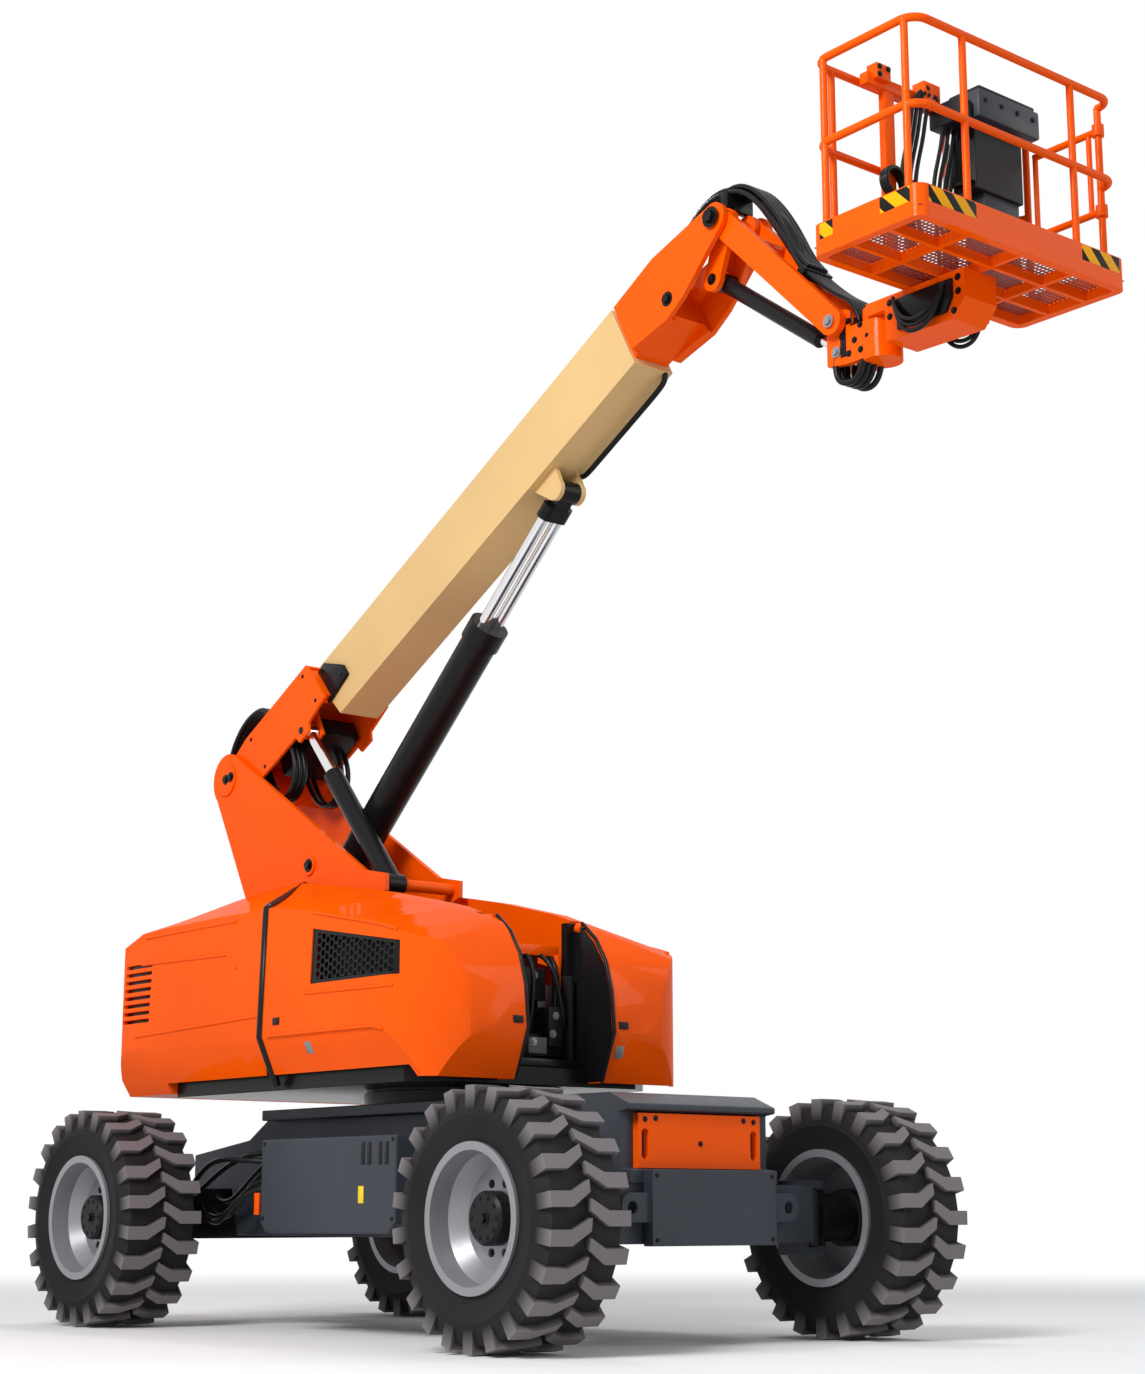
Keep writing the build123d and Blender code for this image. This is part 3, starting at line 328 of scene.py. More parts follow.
worn(finishes["tyre_rubber"], (0.19, 0.172, 0.18))
for node, shell in shells.items():
    if node.startswith("tyre"):
        spots = [vertex.co for vertex in shell.data.vertices]
        axle_x = (max(p.x for p in spots) + min(p.x for p in spots)) / 2
        axle_z = (max(p.z for p in spots) + min(p.z for p in spots)) / 2
        wear = shell.data.attributes.new("wear", "FLOAT", "POINT")
        for n, spot in enumerate(spots):
            reach = Vector((spot.x - axle_x, spot.z - axle_z)).length
            wear.data[n].value = min(1.0, max(0.0, (reach - TREAD_START) / (TREAD_END - TREAD_START)))
print("worn tyres", sum(node.startswith("tyre") for node in shells))

# %% [markdown]
# Bolts hold the pins, rims, hubs and plates, and there are many of them, so Geometry Nodes makes them.
# The tree reads a mesh of points, each with an axis, and puts a hex head on a round washer at every point.
# One tree serves every size, because its inputs are the washer's radius, the head's radius and the height.

# %% Bolts by Geometry Nodes
WASHER_DEPTH = 0.006
WASHER_SHARE = 1.6
HEIGHT_SHARE = 1.5
BOLT_SLOTS = ("black_paint", "hub_black", "silver_paint")


def new_tree(name, inputs):
    """A Geometry Nodes tree with a geometry in, one float socket per name, and a geometry out."""
    tree = bpy.data.node_groups.new(name, "GeometryNodeTree")
    tree.interface.new_socket("Geometry", in_out="INPUT", socket_type="NodeSocketGeometry")
    for label in inputs:
        tree.interface.new_socket(label, in_out="INPUT", socket_type="NodeSocketFloat")
    tree.interface.new_socket("Geometry", in_out="OUTPUT", socket_type="NodeSocketGeometry")
    return tree, tree.nodes.new("NodeGroupInput"), tree.nodes.new("NodeGroupOutput")


def run_tree(tree, base, values):
    """The plain mesh that a tree makes from a base mesh and its named values."""
    draft = bpy.data.objects.new("draft", base)
    modifier = draft.modifiers.new("nodes", "NODES")
    modifier.node_group = tree
    for socket in tree.interface.items_tree:
        if socket.in_out == "INPUT" and socket.name in values:
            modifier[socket.identifier] = values[socket.name]
    return settle(draft)


def bolt_tree(material):
    """Hex heads on washers at every point of a mesh, turned to the point's own axis."""
    tree, given, made = new_tree("bolts", ["Washer radius", "Head radius", "Head height"])
    washer = tree.nodes.new("GeometryNodeMeshCylinder")
    put(washer, {"Vertices": 20, "Depth": WASHER_DEPTH})
    hexagon = tree.nodes.new("GeometryNodeMeshCylinder")
    put(hexagon, {"Vertices": 6})
    joined = tree.nodes.new("GeometryNodeJoinGeometry")
    axis = tree.nodes.new("GeometryNodeInputNamedAttribute")
    axis.data_type = "FLOAT_VECTOR"
    put(axis, {"Name": "axis"})
    turn = tree.nodes.new("FunctionNodeAlignRotationToVector")
    turn.axis = "Z"
    copies = tree.nodes.new("GeometryNodeInstanceOnPoints")
    real = tree.nodes.new("GeometryNodeRealizeInstances")
    paint = tree.nodes.new("GeometryNodeSetMaterial")
    put(paint, {"Material": material})
    wire(tree, [
        (given, "Washer radius", washer, "Radius"),
        (given, "Head radius", hexagon, "Radius"),
        (given, "Head height", hexagon, "Depth"),
        (washer, "Mesh", joined, "Geometry"),
        (hexagon, "Mesh", joined, "Geometry"),
        (axis, "Attribute", turn, "Vector"),
        (given, "Geometry", copies, "Points"),
        (joined, "Geometry", copies, "Instance"),
        (turn, "Rotation", copies, "Rotation"),
        (copies, "Instances", real, "Geometry"),
        (real, "Geometry", paint, "Geometry"),
        (paint, "Geometry", made, "Geometry"),
    ])
    return tree


bolt_trees = {slot: bolt_tree(finishes[slot]) for slot in BOLT_SLOTS}


def bolts(name, spots, size, body, slot):
    """One piece of bolts: spots are (place, axis) pairs, and size is the head's radius."""
    base = bpy.data.meshes.new(name + "_points")
    base.from_pydata([place for place, axis in spots], [], [])
    axes = base.attributes.new("axis", "FLOAT_VECTOR", "POINT")
    for n, (place, axis) in enumerate(spots):
        axes.data[n].vector = axis
    sizes = {"Washer radius": WASHER_SHARE * size, "Head radius": size, "Head height": HEIGHT_SHARE * size}
    mesh = run_tree(bolt_trees[slot], base, sizes)
    smooth(mesh)
    return new_piece(name, mesh, body, slot)


def circle(middle, axis, radius, count):
    """Spots on a circle round an axis."""
    place = frame_at(middle, axis)
    turns = [2 * pi * n / count for n in range(count)]
    return [(place @ Vector((radius * cos(turn), radius * sin(turn), 0.0)), axis) for turn in turns]


print("bolt trees", len(bolt_trees))

# %% [markdown]
# Each wheel is bolted to a black planetary drive, which stands out of the deep silver rim.
# A ring of nuts holds the rim's disc, and a ring of smaller bolts and a plug close the drive's cover.

# %% Wheel nuts and hub bolts
HALF_BASE = 1.91
HALF_TRACK = 1.156
AXLE_Z = 0.625
WHEELS = [
    # corner, ahead of the swing axis, hand
    ("front_right", HALF_BASE, -1), ("front_left", HALF_BASE, 1),
    ("rear_right", -HALF_BASE, -1), ("rear_left", -HALF_BASE, 1),
]
WHEEL_BOLTS = [
    # name, distance out, ring radius, count, size
    ("rim_nuts_", 0.06, 0.168, 10, 0.013),
    ("hub_bolts_", 0.15, 0.095, 10, 0.007),
    ("hub_plug_", 0.15, 0.0, 1, 0.026),
]
for corner, ahead, hand in WHEELS:
    axis = Vector((0.0, hand, 0.0))
    for name, out, radius, count, size in WHEEL_BOLTS:
        middle = at(ahead, hand * (HALF_TRACK + out), AXLE_Z)
        bolts(name + corner, circle(middle, axis, radius, count), size, "wheel_" + corner, "hub_black")
print("wheels", len(WHEELS))

# %% [markdown]
# The pivots show on the outside of the plates.
# There are bolts at the boom's foot, washers at the head, and bright bolts at the jib's lower end.

# %% Pins and their bolts
HEAD = on_boom(5.171, -0.044, 0.0)
JIB_PIN = at(3.181, 0.0, 5.0)
JIB_FOOT = at(2.27, 0.0, 5.52)
JIB_EYE = at(3.176, 0.0, 4.849)


def both_sides(place, out):
    """The same spot on the right and on the left of the machine."""
    return [(place + out * RIGHT, RIGHT), (place + out * LEFT, LEFT)]


def pairs(spots, out):
    """Spots on both sides, from (ahead, height) pairs."""
    return [spot for x, z in spots for spot in both_sides(at(x, 0.0, z), out)]


TOWER_SIDE = 0.297
FOOT_BOLT = 0.021
LIFT_BOLT = 0.026
foot_spots = pairs([(-2.2, 3.4), (-2.14, 3.41)], TOWER_SIDE)
bolts("foot_bolts", foot_spots, FOOT_BOLT, "turntable", "black_paint")
bolts("lift_pin_bolts", pairs([(-1.2, 2.73)], TOWER_SIDE), LIFT_BOLT, "turntable", "black_paint")
PIN_BOLTS = [
    # name, middle, distance out, size, body, slot
    ("head_washers", HEAD, 0.2, 0.036, "fly", "black_paint"),
    ("nose_bolts", on_boom(4.683, -0.174, 0.0), 0.18, 0.026, "fly", "black_paint"),
    ("jib_end_bolts", JIB_PIN, 0.155, 0.021, "platform_support", "silver_paint"),
    ("jib_eye_bolts", JIB_EYE, 0.1, 0.018, "platform_support", "silver_paint"),
    ("jib_foot_bolts", JIB_FOOT, 0.095, 0.02, "jib_mount", "black_paint"),
]
for name, middle, out, size, body, slot in PIN_BOLTS:
    bolts(name, both_sides(middle, out), size, body, slot)
BASE_SIDE = 0.245
BASE_BOLT = 0.008
BASE_CORNERS = ((0.97, 0.11), (1.02, -0.12), (0.36, -0.15), (0.3, 0.11))
base_spots = [
    (on_boom(u, v, 0.0) + BASE_SIDE * side, side) for side in (RIGHT, LEFT) for u, v in BASE_CORNERS
]
bolts("base_bolts", base_spots, BASE_BOLT, "boom", "black_paint")
print("head pin", tuple(round(c, 3) for c in HEAD))

# %% [markdown]
# The levelling cylinder's rod ends in an eye on the boom's foot.
# The eye's pin shows a black head on each side, and its place comes from the record's own joint.

# %% Levelling eye
EYE_OUT = 0.052
EYE_BOLT = 0.024
level_joint = next(joint for joint in behaviour["joints"] if joint["name"] == "level_eye")
level_eye = Vector(level_joint["pos_m"])
bolts("level_eye_bolts", both_sides(level_eye, EYE_OUT), EYE_BOLT, "boom", "black_paint")
print("levelling eye", tuple(round(c, 3) for c in level_eye))

# %% [markdown]
# Small flat pieces such as latches and brackets are an outline given a thickness, with a fine bevel.
# The outline is drawn on two directions, so the same helper works on a side plate, the boom or the deck.

# %% Plates
FINE_EDGE = 0.0005
THIN_EDGE = 0.001
SHEET = 0.003


def rectangle(left, right, low, high):
    """The outline of a rectangle."""
    return [(left, low), (right, low), (right, high), (left, high)]


def plate(name, origin, across, up, outline, thick, body, slot, edge=0.002, material=None):
    """A prism: an outline on two directions from an origin, with its thickness behind it."""
    behind = up.cross(across).normalized() * thick
    front = [origin + a * across + b * up for a, b in outline]
    back = [point + behind for point in front]
    count = len(outline)
    faces = [tuple(range(count)), tuple(reversed(range(count, 2 * count)))]
    faces += [(n, n + count, (n + 1) % count + count, (n + 1) % count) for n in range(count)]
    form = bmesh.new()
    corners = [form.verts.new(point) for point in front + back]
    for face in faces:
        form.faces.new([corners[n] for n in face])
    bmesh.ops.recalc_face_normals(form, faces=form.faces)
    bmesh.ops.bevel(form, geom=form.edges[:], offset=edge, segments=2, affect="EDGES", profile=0.5)
    mesh = mesh_of(form, name)
    smooth(mesh)
    return new_piece(name, mesh, body, slot, material)


def block(name, middle, size, body, slot, edge=0.003):
    """A box with fine edges, its sides along the machine's axes."""
    x, y, z = (0.5 * s for s in size)
    outline = rectangle(-x, x, -z, z)
    return plate(name, middle + y * RIGHT, AHEAD, UP, outline, size[1], body, slot, edge)


def blocks(body, rows):
    """Boxes on one body, from rows of name, ahead, left, height, size, slot and edge."""
    for name, ahead, left, height, size, slot, edge in rows:
        block(name, at(ahead, left, height), size, body, slot, edge)


def outside(hand, side, thick):
    """How far left a plate's right face is when the plate lies on the outside of one side."""
    return -side - thick if hand < 0 else side


TUBE_SIDE = 0.14
BRACKET_THICK = 0.024
BRACKET_BOLT = 0.009
BRACKET = [(1.002, 0.111), (1.107, 0.128), (1.267, -0.011), (1.282, -0.096), (1.035, -0.136)]
BRACKET_SIDE = TUBE_SIDE + BRACKET_THICK
for name, side in (("right", BRACKET_SIDE * RIGHT), ("left", TUBE_SIDE * LEFT)):
    place = BOOM_PIVOT + side
    plate("base_bracket_" + name, place, ALONG, ABOVE, BRACKET, BRACKET_THICK, "boom", "black_paint")
bracket_bolts = both_sides(on_boom(1.07, 0.09, 0.0), BRACKET_SIDE)
bracket_bolts += both_sides(on_boom(1.23, -0.06, 0.0), BRACKET_SIDE)
bolts("bracket_bolts", bracket_bolts, BRACKET_BOLT, "boom", "black_paint")
print("plates ready")

# %% [markdown]
# Hoses are round and smooth, so each is a NURBS curve along listed points, given a round section.
# A bundle is the same route set side by side, so its hoses lie next to each other as under a clamp.
# A bundle that crosses a joint rides on no body.

# %% Hoses
THICK_HOSE = 0.016
HOSE = 0.014
SLIM_HOSE = 0.012
CABLE = 0.011


def tube(points, radius, kind="NURBS", roundness=3):
    """The mesh of a round tube: a smooth curve, or straight runs where the kind is POLY."""
    data = bpy.data.curves.new("tube", "CURVE")
    data.dimensions = "3D"
    data.bevel_depth = radius
    data.bevel_resolution = roundness
    data.resolution_u = 6
    data.use_fill_caps = True
    spline = data.splines.new(kind)
    spline.points.add(len(points) - 1)
    for spot, point in zip(spline.points, points):
        spot.co = (*point, 1.0)
    spline.order_u = 4
    spline.use_endpoint_u = True
    return settle(bpy.data.objects.new("tube_draft", data))


def bundle(name, routes, radius, body):
    """Several hoses as one piece."""
    form = bmesh.new()
    for points in routes:
        form.from_mesh(tube(points, radius))
    mesh = mesh_of(form, name)
    mesh.shade_smooth()
    return new_piece(name, mesh, body, "dark_plastic", hose_rubber)


def side_by_side(points, offsets):
    """The same route at several distances to the left."""
    return [[point + Vector((0.0, y, 0.0)) for point in points] for y in offsets]


hose_rubber = finish("hose_rubber", (0.007, 0.007, 0.008), 0.32, drift=0.15, shine=0.18)
FOOT_LOOP = [(0.5, 0.13), (0.5, 0.24), (0.34, 0.31), (0.14, 0.29), (-0.02, 0.2), (-0.1, 0.08)]
FOOT_HOSES = (-0.2, -0.165, -0.13, -0.09, 0.1, 0.15)
foot_loop = [on_boom(u, v, 0.0) for u, v in FOOT_LOOP]
bundle("foot_hoses", side_by_side(foot_loop, FOOT_HOSES), THICK_HOSE, "boom")
BELLY_LOOP = [(0.26, -0.1), (0.26, -0.34), (0.4, -0.47), (0.58, -0.42), (0.64, -0.28), (0.62, -0.1)]
BELLY_HOSES = (-0.21, -0.175, -0.14, 0.14, 0.19)
belly_loop = [on_boom(u, v, 0.0) for u, v in BELLY_LOOP]
bundle("belly_hoses", side_by_side(belly_loop, BELLY_HOSES), THICK_HOSE, "boom")
GUIDE = [(3.4, -0.25), (3.42, -0.3), (3.5, -0.3), (3.9, -0.3), (4.18, -0.3), (4.25, -0.29), (4.26, -0.25)]
bundle("hose_guide", [[on_boom(u, v, 0.1) for u, v in GUIDE]], THICK_HOSE, "boom")
BELLY = rectangle(0.34, 0.8, -0.19, -0.06)
BELLY_WIDE = 0.3
belly_right = BOOM_PIVOT + 0.1 * RIGHT
plate("belly_valves", belly_right, ALONG, ABOVE, BELLY, BELLY_WIDE, "boom", "black_paint", 0.006)
print("hoses begun")

# %% [markdown]
# The bundle leaves the nose of the boom, arches across the head's pin and runs down the jib.
# It is made in three lengths, with a clamp where two lengths meet.

# %% Hoses over the head and along the jib
JIB_ALONG = (JIB_PIN - HEAD).normalized()
JIB_ABOVE = Vector((-JIB_ALONG.z, 0.0, JIB_ALONG.x))
JIB_HOSES = (-0.075, -0.045, -0.015, 0.015, 0.045, 0.075)


def on_jib(u, v, y=0.0):
    """A point by its distance along the jib, above its line, and to the left."""
    return HEAD + u * JIB_ALONG + v * JIB_ABOVE + Vector((0.0, y, 0.0))


CREST = HEAD + Vector((0.0, 0.0, 0.165))
nose_route = [on_boom(u, v, 0.0) for u, v in ((4.56, 0.03), (4.72, 0.09), (4.92, 0.17))]
nose_route += [CREST + Vector((-0.12, 0, 0.03)), CREST]
UPPER_HOSES = (-0.06, -0.03, 0.0, 0.03, 0.06)
LAYER = Vector((0.0, 0.0, 0.026))
upper_nose = [nose_route[0]] + [point + LAYER for point in nose_route[1:]]
nose_routes = side_by_side(nose_route, JIB_HOSES) + side_by_side(upper_nose, UPPER_HOSES)
nose_hoses = bundle("nose_hoses", nose_routes, HOSE, None)
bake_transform(nose_hoses)
JIB_SLACK = (0.03, 0.0, 0.06, 0.015, 0.045, -0.02)
jib_routes = []
for y, slack in zip(JIB_HOSES, JIB_SLACK):
    route = [CREST, CREST + Vector((0.12, 0, 0.01)), on_jib(0.3, 0.16 + slack), on_jib(0.55, 0.1 + slack)]
    jib_routes += side_by_side(route + [on_jib(0.66, 0.09), on_jib(0.72, 0.09)], [y])
upper_jib = [CREST + LAYER, CREST + LAYER + Vector((0.14, 0, 0.02))]
upper_jib += [on_jib(u, v) for u, v in ((0.3, 0.22), (0.55, 0.13), (0.66, 0.115), (0.72, 0.115))]
jib_routes += side_by_side(upper_jib, UPPER_HOSES)
jib_hoses = bundle("jib_hoses", jib_routes, HOSE, None)
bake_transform(jib_hoses)
end_route = [on_jib(u, v) for u, v in ((0.72, 0.09), (0.9, 0.09), (1.06, 0.11))]
end_route += [JIB_PIN + Vector((0.1, 0, 0.1)), JIB_PIN + Vector((0.14, 0, -0.02))]
end_hoses = bundle("jib_end_hoses", side_by_side(end_route, JIB_HOSES), SLIM_HOSE, None)
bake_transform(end_hoses)
block("crest_clamp", CREST - Vector((0, 0, 0.04)), (0.05, 0.19, 0.1), "jib_mount", "black_paint")
CLAMP = rectangle(-0.025, 0.025, -0.02, 0.05)
CLAMP_WIDE = 0.2
clamp_right = on_jib(0.72, 0.06, -CLAMP_WIDE / 2)
plate("jib_clamp", clamp_right, JIB_ALONG, JIB_ABOVE, CLAMP, CLAMP_WIDE, "jib", "black_paint")
SUPPORT_LOOP = [(3.16, 4.84), (3.14, 4.72), (3.22, 4.66), (3.32, 4.68), (3.34, 4.77)]
SUPPORT_HOSES = (-0.08, -0.04, 0.0, 0.05)
support_loop = [at(x, 0.0, z) for x, z in SUPPORT_LOOP]
bundle("support_hoses", side_by_side(support_loop, SUPPORT_HOSES), THICK_HOSE, "platform_support")
print("jib length", round((JIB_PIN - HEAD).length, 3))

# %% [markdown]
# The seam between the fixed rear cover and the hood is closed by a black rubber strip.
# It is a thin hose-like strip that follows the covers' outline up the side and back over the roof.

# %% Cover seams
SEAM_RADIUS = 0.025
SEAM_SIDE = [
    # ahead, out, height
    (-0.585, 0.875, 1.352), (-0.585, 0.995, 1.62), (-0.585, 0.972, 2.348), (-0.62, 0.93, 2.37),
    (-1.14, 0.36, 2.594),
]


def strip(name, points, radius, body, slot="dark_plastic", material=None):
    """A piece that is one strip along straight runs."""
    mesh = tube(points, radius, "POLY", 2)
    mesh.shade_smooth()
    return new_piece(name, mesh, body, slot, material)


for name, hand in HANDS:
    seam = [at(x, hand * y, z) for x, y, z in SEAM_SIDE]
    strip("seam_" + name, seam, SEAM_RADIUS, "turntable", material=hose_rubber)
print("seams", len(HANDS))

# %% [markdown]
# Between the hoods the bay shows dark machinery: valve blocks, a pump, an orange strut and hoses.
# Simple blocks and looped hoses read well at this distance, and a black sheet behind them is painted shade
# for the deep bay.

# %% Machinery between the hoods
BAY_PARTS = [
    # name, ahead, left, height, size, slot, edge
    # The first row is a black sheet at the back of the bay: painted shade.
    ("bay_shade_sheet", 0.36, 0.0, 1.76, (0.02, 0.5, 0.66), "black_paint", 0.003),
    ("valve_block", 0.5, 0.06, 1.62, (0.16, 0.26, 0.28), "black_paint", 0.008),
    ("pump_block", 0.48, -0.1, 1.86, (0.14, 0.16, 0.16), "cast_grey", 0.01),
    ("bay_strut", 0.56, 0.0, 2.09, (0.05, 0.46, 0.06), "orange_paint", 0.006),
    ("bay_leg", 0.6, 0.205, 1.86, (0.03, 0.028, 0.42), "orange_paint", 0.004),
    ("bay_filter", 0.63, 0.13, 1.66, (0.1, 0.1, 0.22), "dark_plastic", 0.006),
    ("bay_relay", 0.67, -0.02, 1.55, (0.08, 0.13, 0.09), "cast_grey", 0.006),
    ("bay_manifold", 0.65, -0.18, 1.62, (0.1, 0.1, 0.2), "black_paint", 0.006),
    ("bay_bracket", 0.6, 0.245, 1.7, (0.16, 0.03, 0.5), "dark_plastic", 0.006),
    ("bay_cooler", 0.55, 0.03, 1.9, (0.06, 0.22, 0.18), "dark_plastic", 0.006),
]
BAY_EDGES = [
    # name, ahead, left, height, size, slot, edge
    ("bay_sill", 0.68, 0.0, 1.455, (0.1, 0.52, 0.05), "black_paint", 0.008),
    # The two thin black sheets on the hoods' inner faces are painted shade in the gap.
    ("bay_shade_right", 0.55, -0.2975, 1.66, (0.34, 0.003, 0.52), "black_paint", 0.001),
    ("bay_shade_left", 0.55, 0.2975, 1.66, (0.34, 0.003, 0.52), "black_paint", 0.001),
]
BAY_FITTINGS = [
    # ahead, left, height
    (0.68, 0.13, 1.72), (0.68, 0.11, 1.62), (0.71, -0.05, 1.57), (0.7, -0.18, 1.68), (0.7, -0.2, 1.6),
    (0.58, 0.06, 1.95),
]
FITTING = 0.014
PUMP_CAP = 0.034
fittings = [(at(x, y, z), AHEAD) for x, y, z in BAY_FITTINGS]
blocks("turntable", BAY_PARTS)
bolts("bay_fittings", fittings, FITTING, "turntable", "silver_paint")
blocks("turntable", BAY_EDGES)
bolts("pump_cap", [(at(0.555, -0.1, 1.87), AHEAD)], PUMP_CAP, "turntable", "silver_paint")
BAY_HOSES = [
    # left at the top, left at the foot, bow ahead
    (-0.2, -0.16, 0.1), (-0.16, -0.1, 0.13), (-0.12, 0.02, 0.08), (0.0, -0.04, 0.1), (0.18, 0.14, 0.08),
    (0.2, 0.2, 0.05), (-0.23, -0.22, 0.16), (-0.22, -0.19, 0.2), (0.1, 0.22, 0.12),
]
BAY_ROUTE = [
    # ahead, share of the bow, share of the way from top to foot, height
    (0.5, 0, 0.0, 2.08), (0.56, 1, 0.0, 2.06), (0.56, 1, 0.5, 1.8), (0.56, 1, 1.0, 1.6), (0.5, 0, 1.0, 1.5),
]
bay_routes = [
    [at(x + share * bow, top + part * (foot - top), z) for x, share, part, z in BAY_ROUTE]
    for top, foot, bow in BAY_HOSES
]
bundle("bay_hoses", bay_routes, HOSE, "turntable")
print("bay hoses", len(bay_routes))

# %% [markdown]
# The hoods close with small black latches, and a bright round lock holds the left hood's front corner.
# Two blank plates lie on the hoods, and the nearest point of the rounded cover gives each its place.
# Black sheets on the hoods' inner faces, beside the gap, are painted shade, and rubber trims finish the
# inner edges.

# %% Latches
LATCH = rectangle(-0.032, 0.032, -0.02, 0.02)
BLANK = rectangle(-0.03, 0.03, -0.035, 0.035)
BLANK_OUT = 0.002
BLANK_PLATES = [
    # name, hood, aim, direction across
    ("blank_front_left", "hood_left", at(0.98, 0.37, 1.5), LEFT),
    ("blank_side_right", "hood_right", at(-0.13, -0.98, 1.535), AHEAD),
]
LATCH_THICK = 0.014
LATCHES = [
    # name, hood, place, direction across
    ("latch_side_right", "hood_right", at(-0.42, -1.004, 1.7), AHEAD),
    ("latch_side_left", "hood_left", at(-0.42, 0.99, 1.7), AHEAD),
    ("latch_front_right", "hood_right", at(0.984, -0.37, 1.66), LEFT),
    ("latch_front_left", "hood_left", at(0.984, 0.37, 1.66), LEFT),
]
for name, hood, place, across in LATCHES:
    plate(name, place, across, UP, LATCH, LATCH_THICK, hood, "dark_plastic")
for name, hood, aim, across in BLANK_PLATES:
    place, out = on_shell(hood, aim)
    face = place + BLANK_OUT * out
    plate(name, face, across, out.cross(across), BLANK, SHEET, hood, "silver_paint", FINE_EDGE)
LOCK = 0.016
bolts("hood_lock", [on_shell("hood_left", at(0.95, 0.64, 1.68))], LOCK, "hood_left", "silver_paint")
# Black sheets on the front of each hood's inner face: painted shade in the gap between the hoods.
INNER_SHADE = [
    # ahead, height
    (0.55, 1.36), (0.86, 1.36), (0.965, 1.62), (0.943, 1.85), (0.893, 2.01), (0.81, 2.13), (0.71, 2.22),
    (0.55, 2.24),
]
for name, y in (("right", -0.299), ("left", 0.2965)):
    face = at(0.0, y, 0.0)
    plate("hood_inner_shade_" + name, face, AHEAD, UP, INNER_SHADE, SHEET, "hood_" + name, "black_paint", THIN_EDGE)
TRIM_OUT = 0.303
TRIM_RADIUS = 0.011
TRIM = [(0.7, 2.248), (0.82, 2.15), (0.905, 2.02), (0.957, 1.85), (0.979, 1.62), (0.87, 1.352)]
for name, hand in HANDS:
    trim = [at(x, hand * TRIM_OUT, z) for x, z in TRIM]
    strip("hood_trim_" + name, trim, TRIM_RADIUS, "hood_" + name, material=hose_rubber)
print("latches", len(LATCHES), "blank plates", len(BLANK_PLATES), "trims", len(HANDS))

# %% [markdown]
# The platform's floor is a perforated sheet, seen from below through the frame.
# A Geometry Nodes tree lays a grid of holes in a rectangle, fills what is left and gives it a thickness.

# %% Perforated deck
PLATFORM = at(3.992, 0.0, 0.0)
DECK_LOW = 5.081
HOLE_ROWS = 24
HOLE_COLUMNS = 54
PLATFORM_HALF = (0.345, 0.74)


def sheet_tree(material, rows, columns):
    """A rectangle with a grid of holes, given a thickness."""
    sizes = ["Length", "Width", "Margin", "Hole radius", "Thickness"]
    tree, given, made = new_tree("perforated sheet", sizes)
    edge = tree.nodes.new("GeometryNodeCurvePrimitiveQuadrilateral")
    grid = tree.nodes.new("GeometryNodeMeshGrid")
    put(grid, {"Vertices X": rows, "Vertices Y": columns})
    hole = tree.nodes.new("GeometryNodeCurvePrimitiveCircle")
    put(hole, {"Resolution": 6})
    copies = tree.nodes.new("GeometryNodeInstanceOnPoints")
    real = tree.nodes.new("GeometryNodeRealizeInstances")
    outlines = tree.nodes.new("GeometryNodeJoinGeometry")
    fill = tree.nodes.new("GeometryNodeFillCurve")
    thick = tree.nodes.new("GeometryNodeExtrudeMesh")
    put(thick, {"Individual": False})
    under = tree.nodes.new("GeometryNodeFlipFaces")
    closed = tree.nodes.new("GeometryNodeJoinGeometry")
    paint = tree.nodes.new("GeometryNodeSetMaterial")
    put(paint, {"Material": material})
    for size, grid_size in (("Length", "Size X"), ("Width", "Size Y")):
        less = tree.nodes.new("ShaderNodeMath")
        less.operation = "SUBTRACT"
        wire(tree, [(given, size, less, 0), (given, "Margin", less, 1), (less, "Value", grid, grid_size)])
    wire(tree, [
        (given, "Length", edge, "Width"),
        (given, "Width", edge, "Height"),
        (given, "Hole radius", hole, "Radius"),
        (grid, "Mesh", copies, "Points"),
        (hole, "Curve", copies, "Instance"),
        (copies, "Instances", real, "Geometry"),
        (real, "Geometry", outlines, "Geometry"),
        (edge, "Curve", outlines, "Geometry"),
        (outlines, "Geometry", fill, "Curve"),
        (fill, "Mesh", thick, "Mesh"),
        (given, "Thickness", thick, "Offset Scale"),
        (fill, "Mesh", under, "Mesh"),
        (thick, "Mesh", closed, "Geometry"),
        (under, "Mesh", closed, "Geometry"),
        (closed, "Geometry", paint, "Geometry"),
        (paint, "Geometry", made, "Geometry"),
    ])
    return tree


deck_sizes = {"Length": 0.67, "Width": 1.46, "Margin": 0.04, "Hole radius": 0.0095, "Thickness": 0.0025}
deck_tree = sheet_tree(finishes["bare_mesh"], HOLE_ROWS, HOLE_COLUMNS)
deck_mesh = run_tree(deck_tree, bpy.data.meshes.new("deck_base"), deck_sizes)
deck_mesh.transform(Matrix.Translation(PLATFORM + DECK_LOW * UP))
deck_sheet = new_piece("deck_sheet", deck_mesh, "platform", "bare_mesh")
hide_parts("platform_deck")
print("deck faces", len(deck_mesh.polygons))

# %% [markdown]
# The corners of the toe board carry yellow and black hazard stripes.
# The stripes come from the piece's own place: the sum of its three coordinates makes slanting bands.

# %% Hazard stripes
STRIPE_PITCH = 0.15


def stripes(name):
    """Yellow and black bands that slant across any upright face."""
    material, tree, shader = new_material(name)
    put(shader, {"Roughness": 0.5, "Specular IOR Level": 0.1})
    place = tree.nodes.new("ShaderNodeTexCoord")
    total = tree.nodes.new("ShaderNodeVectorMath")
    total.operation = "DOT_PRODUCT"
    put(total, {1: 3 * (1.0 / STRIPE_PITCH,)})
    part = tree.nodes.new("ShaderNodeMath")
    part.operation = "FRACT"
    ramp = tree.nodes.new("ShaderNodeValToRGB")
    ramp.color_ramp.interpolation = "CONSTANT"
    ramp.color_ramp.elements[0].color = (0.9, 0.4, 0.003, 1.0)
    ramp.color_ramp.elements[1].position = 0.55
    ramp.color_ramp.elements[1].color = (0.006, 0.006, 0.006, 1.0)
    wire(tree, [
        (place, "Object", total, 0),
        (total, "Value", part, 0),
        (part, "Value", ramp, "Fac"),
        (ramp, "Color", shader, "Base Color"),
    ])
    return material


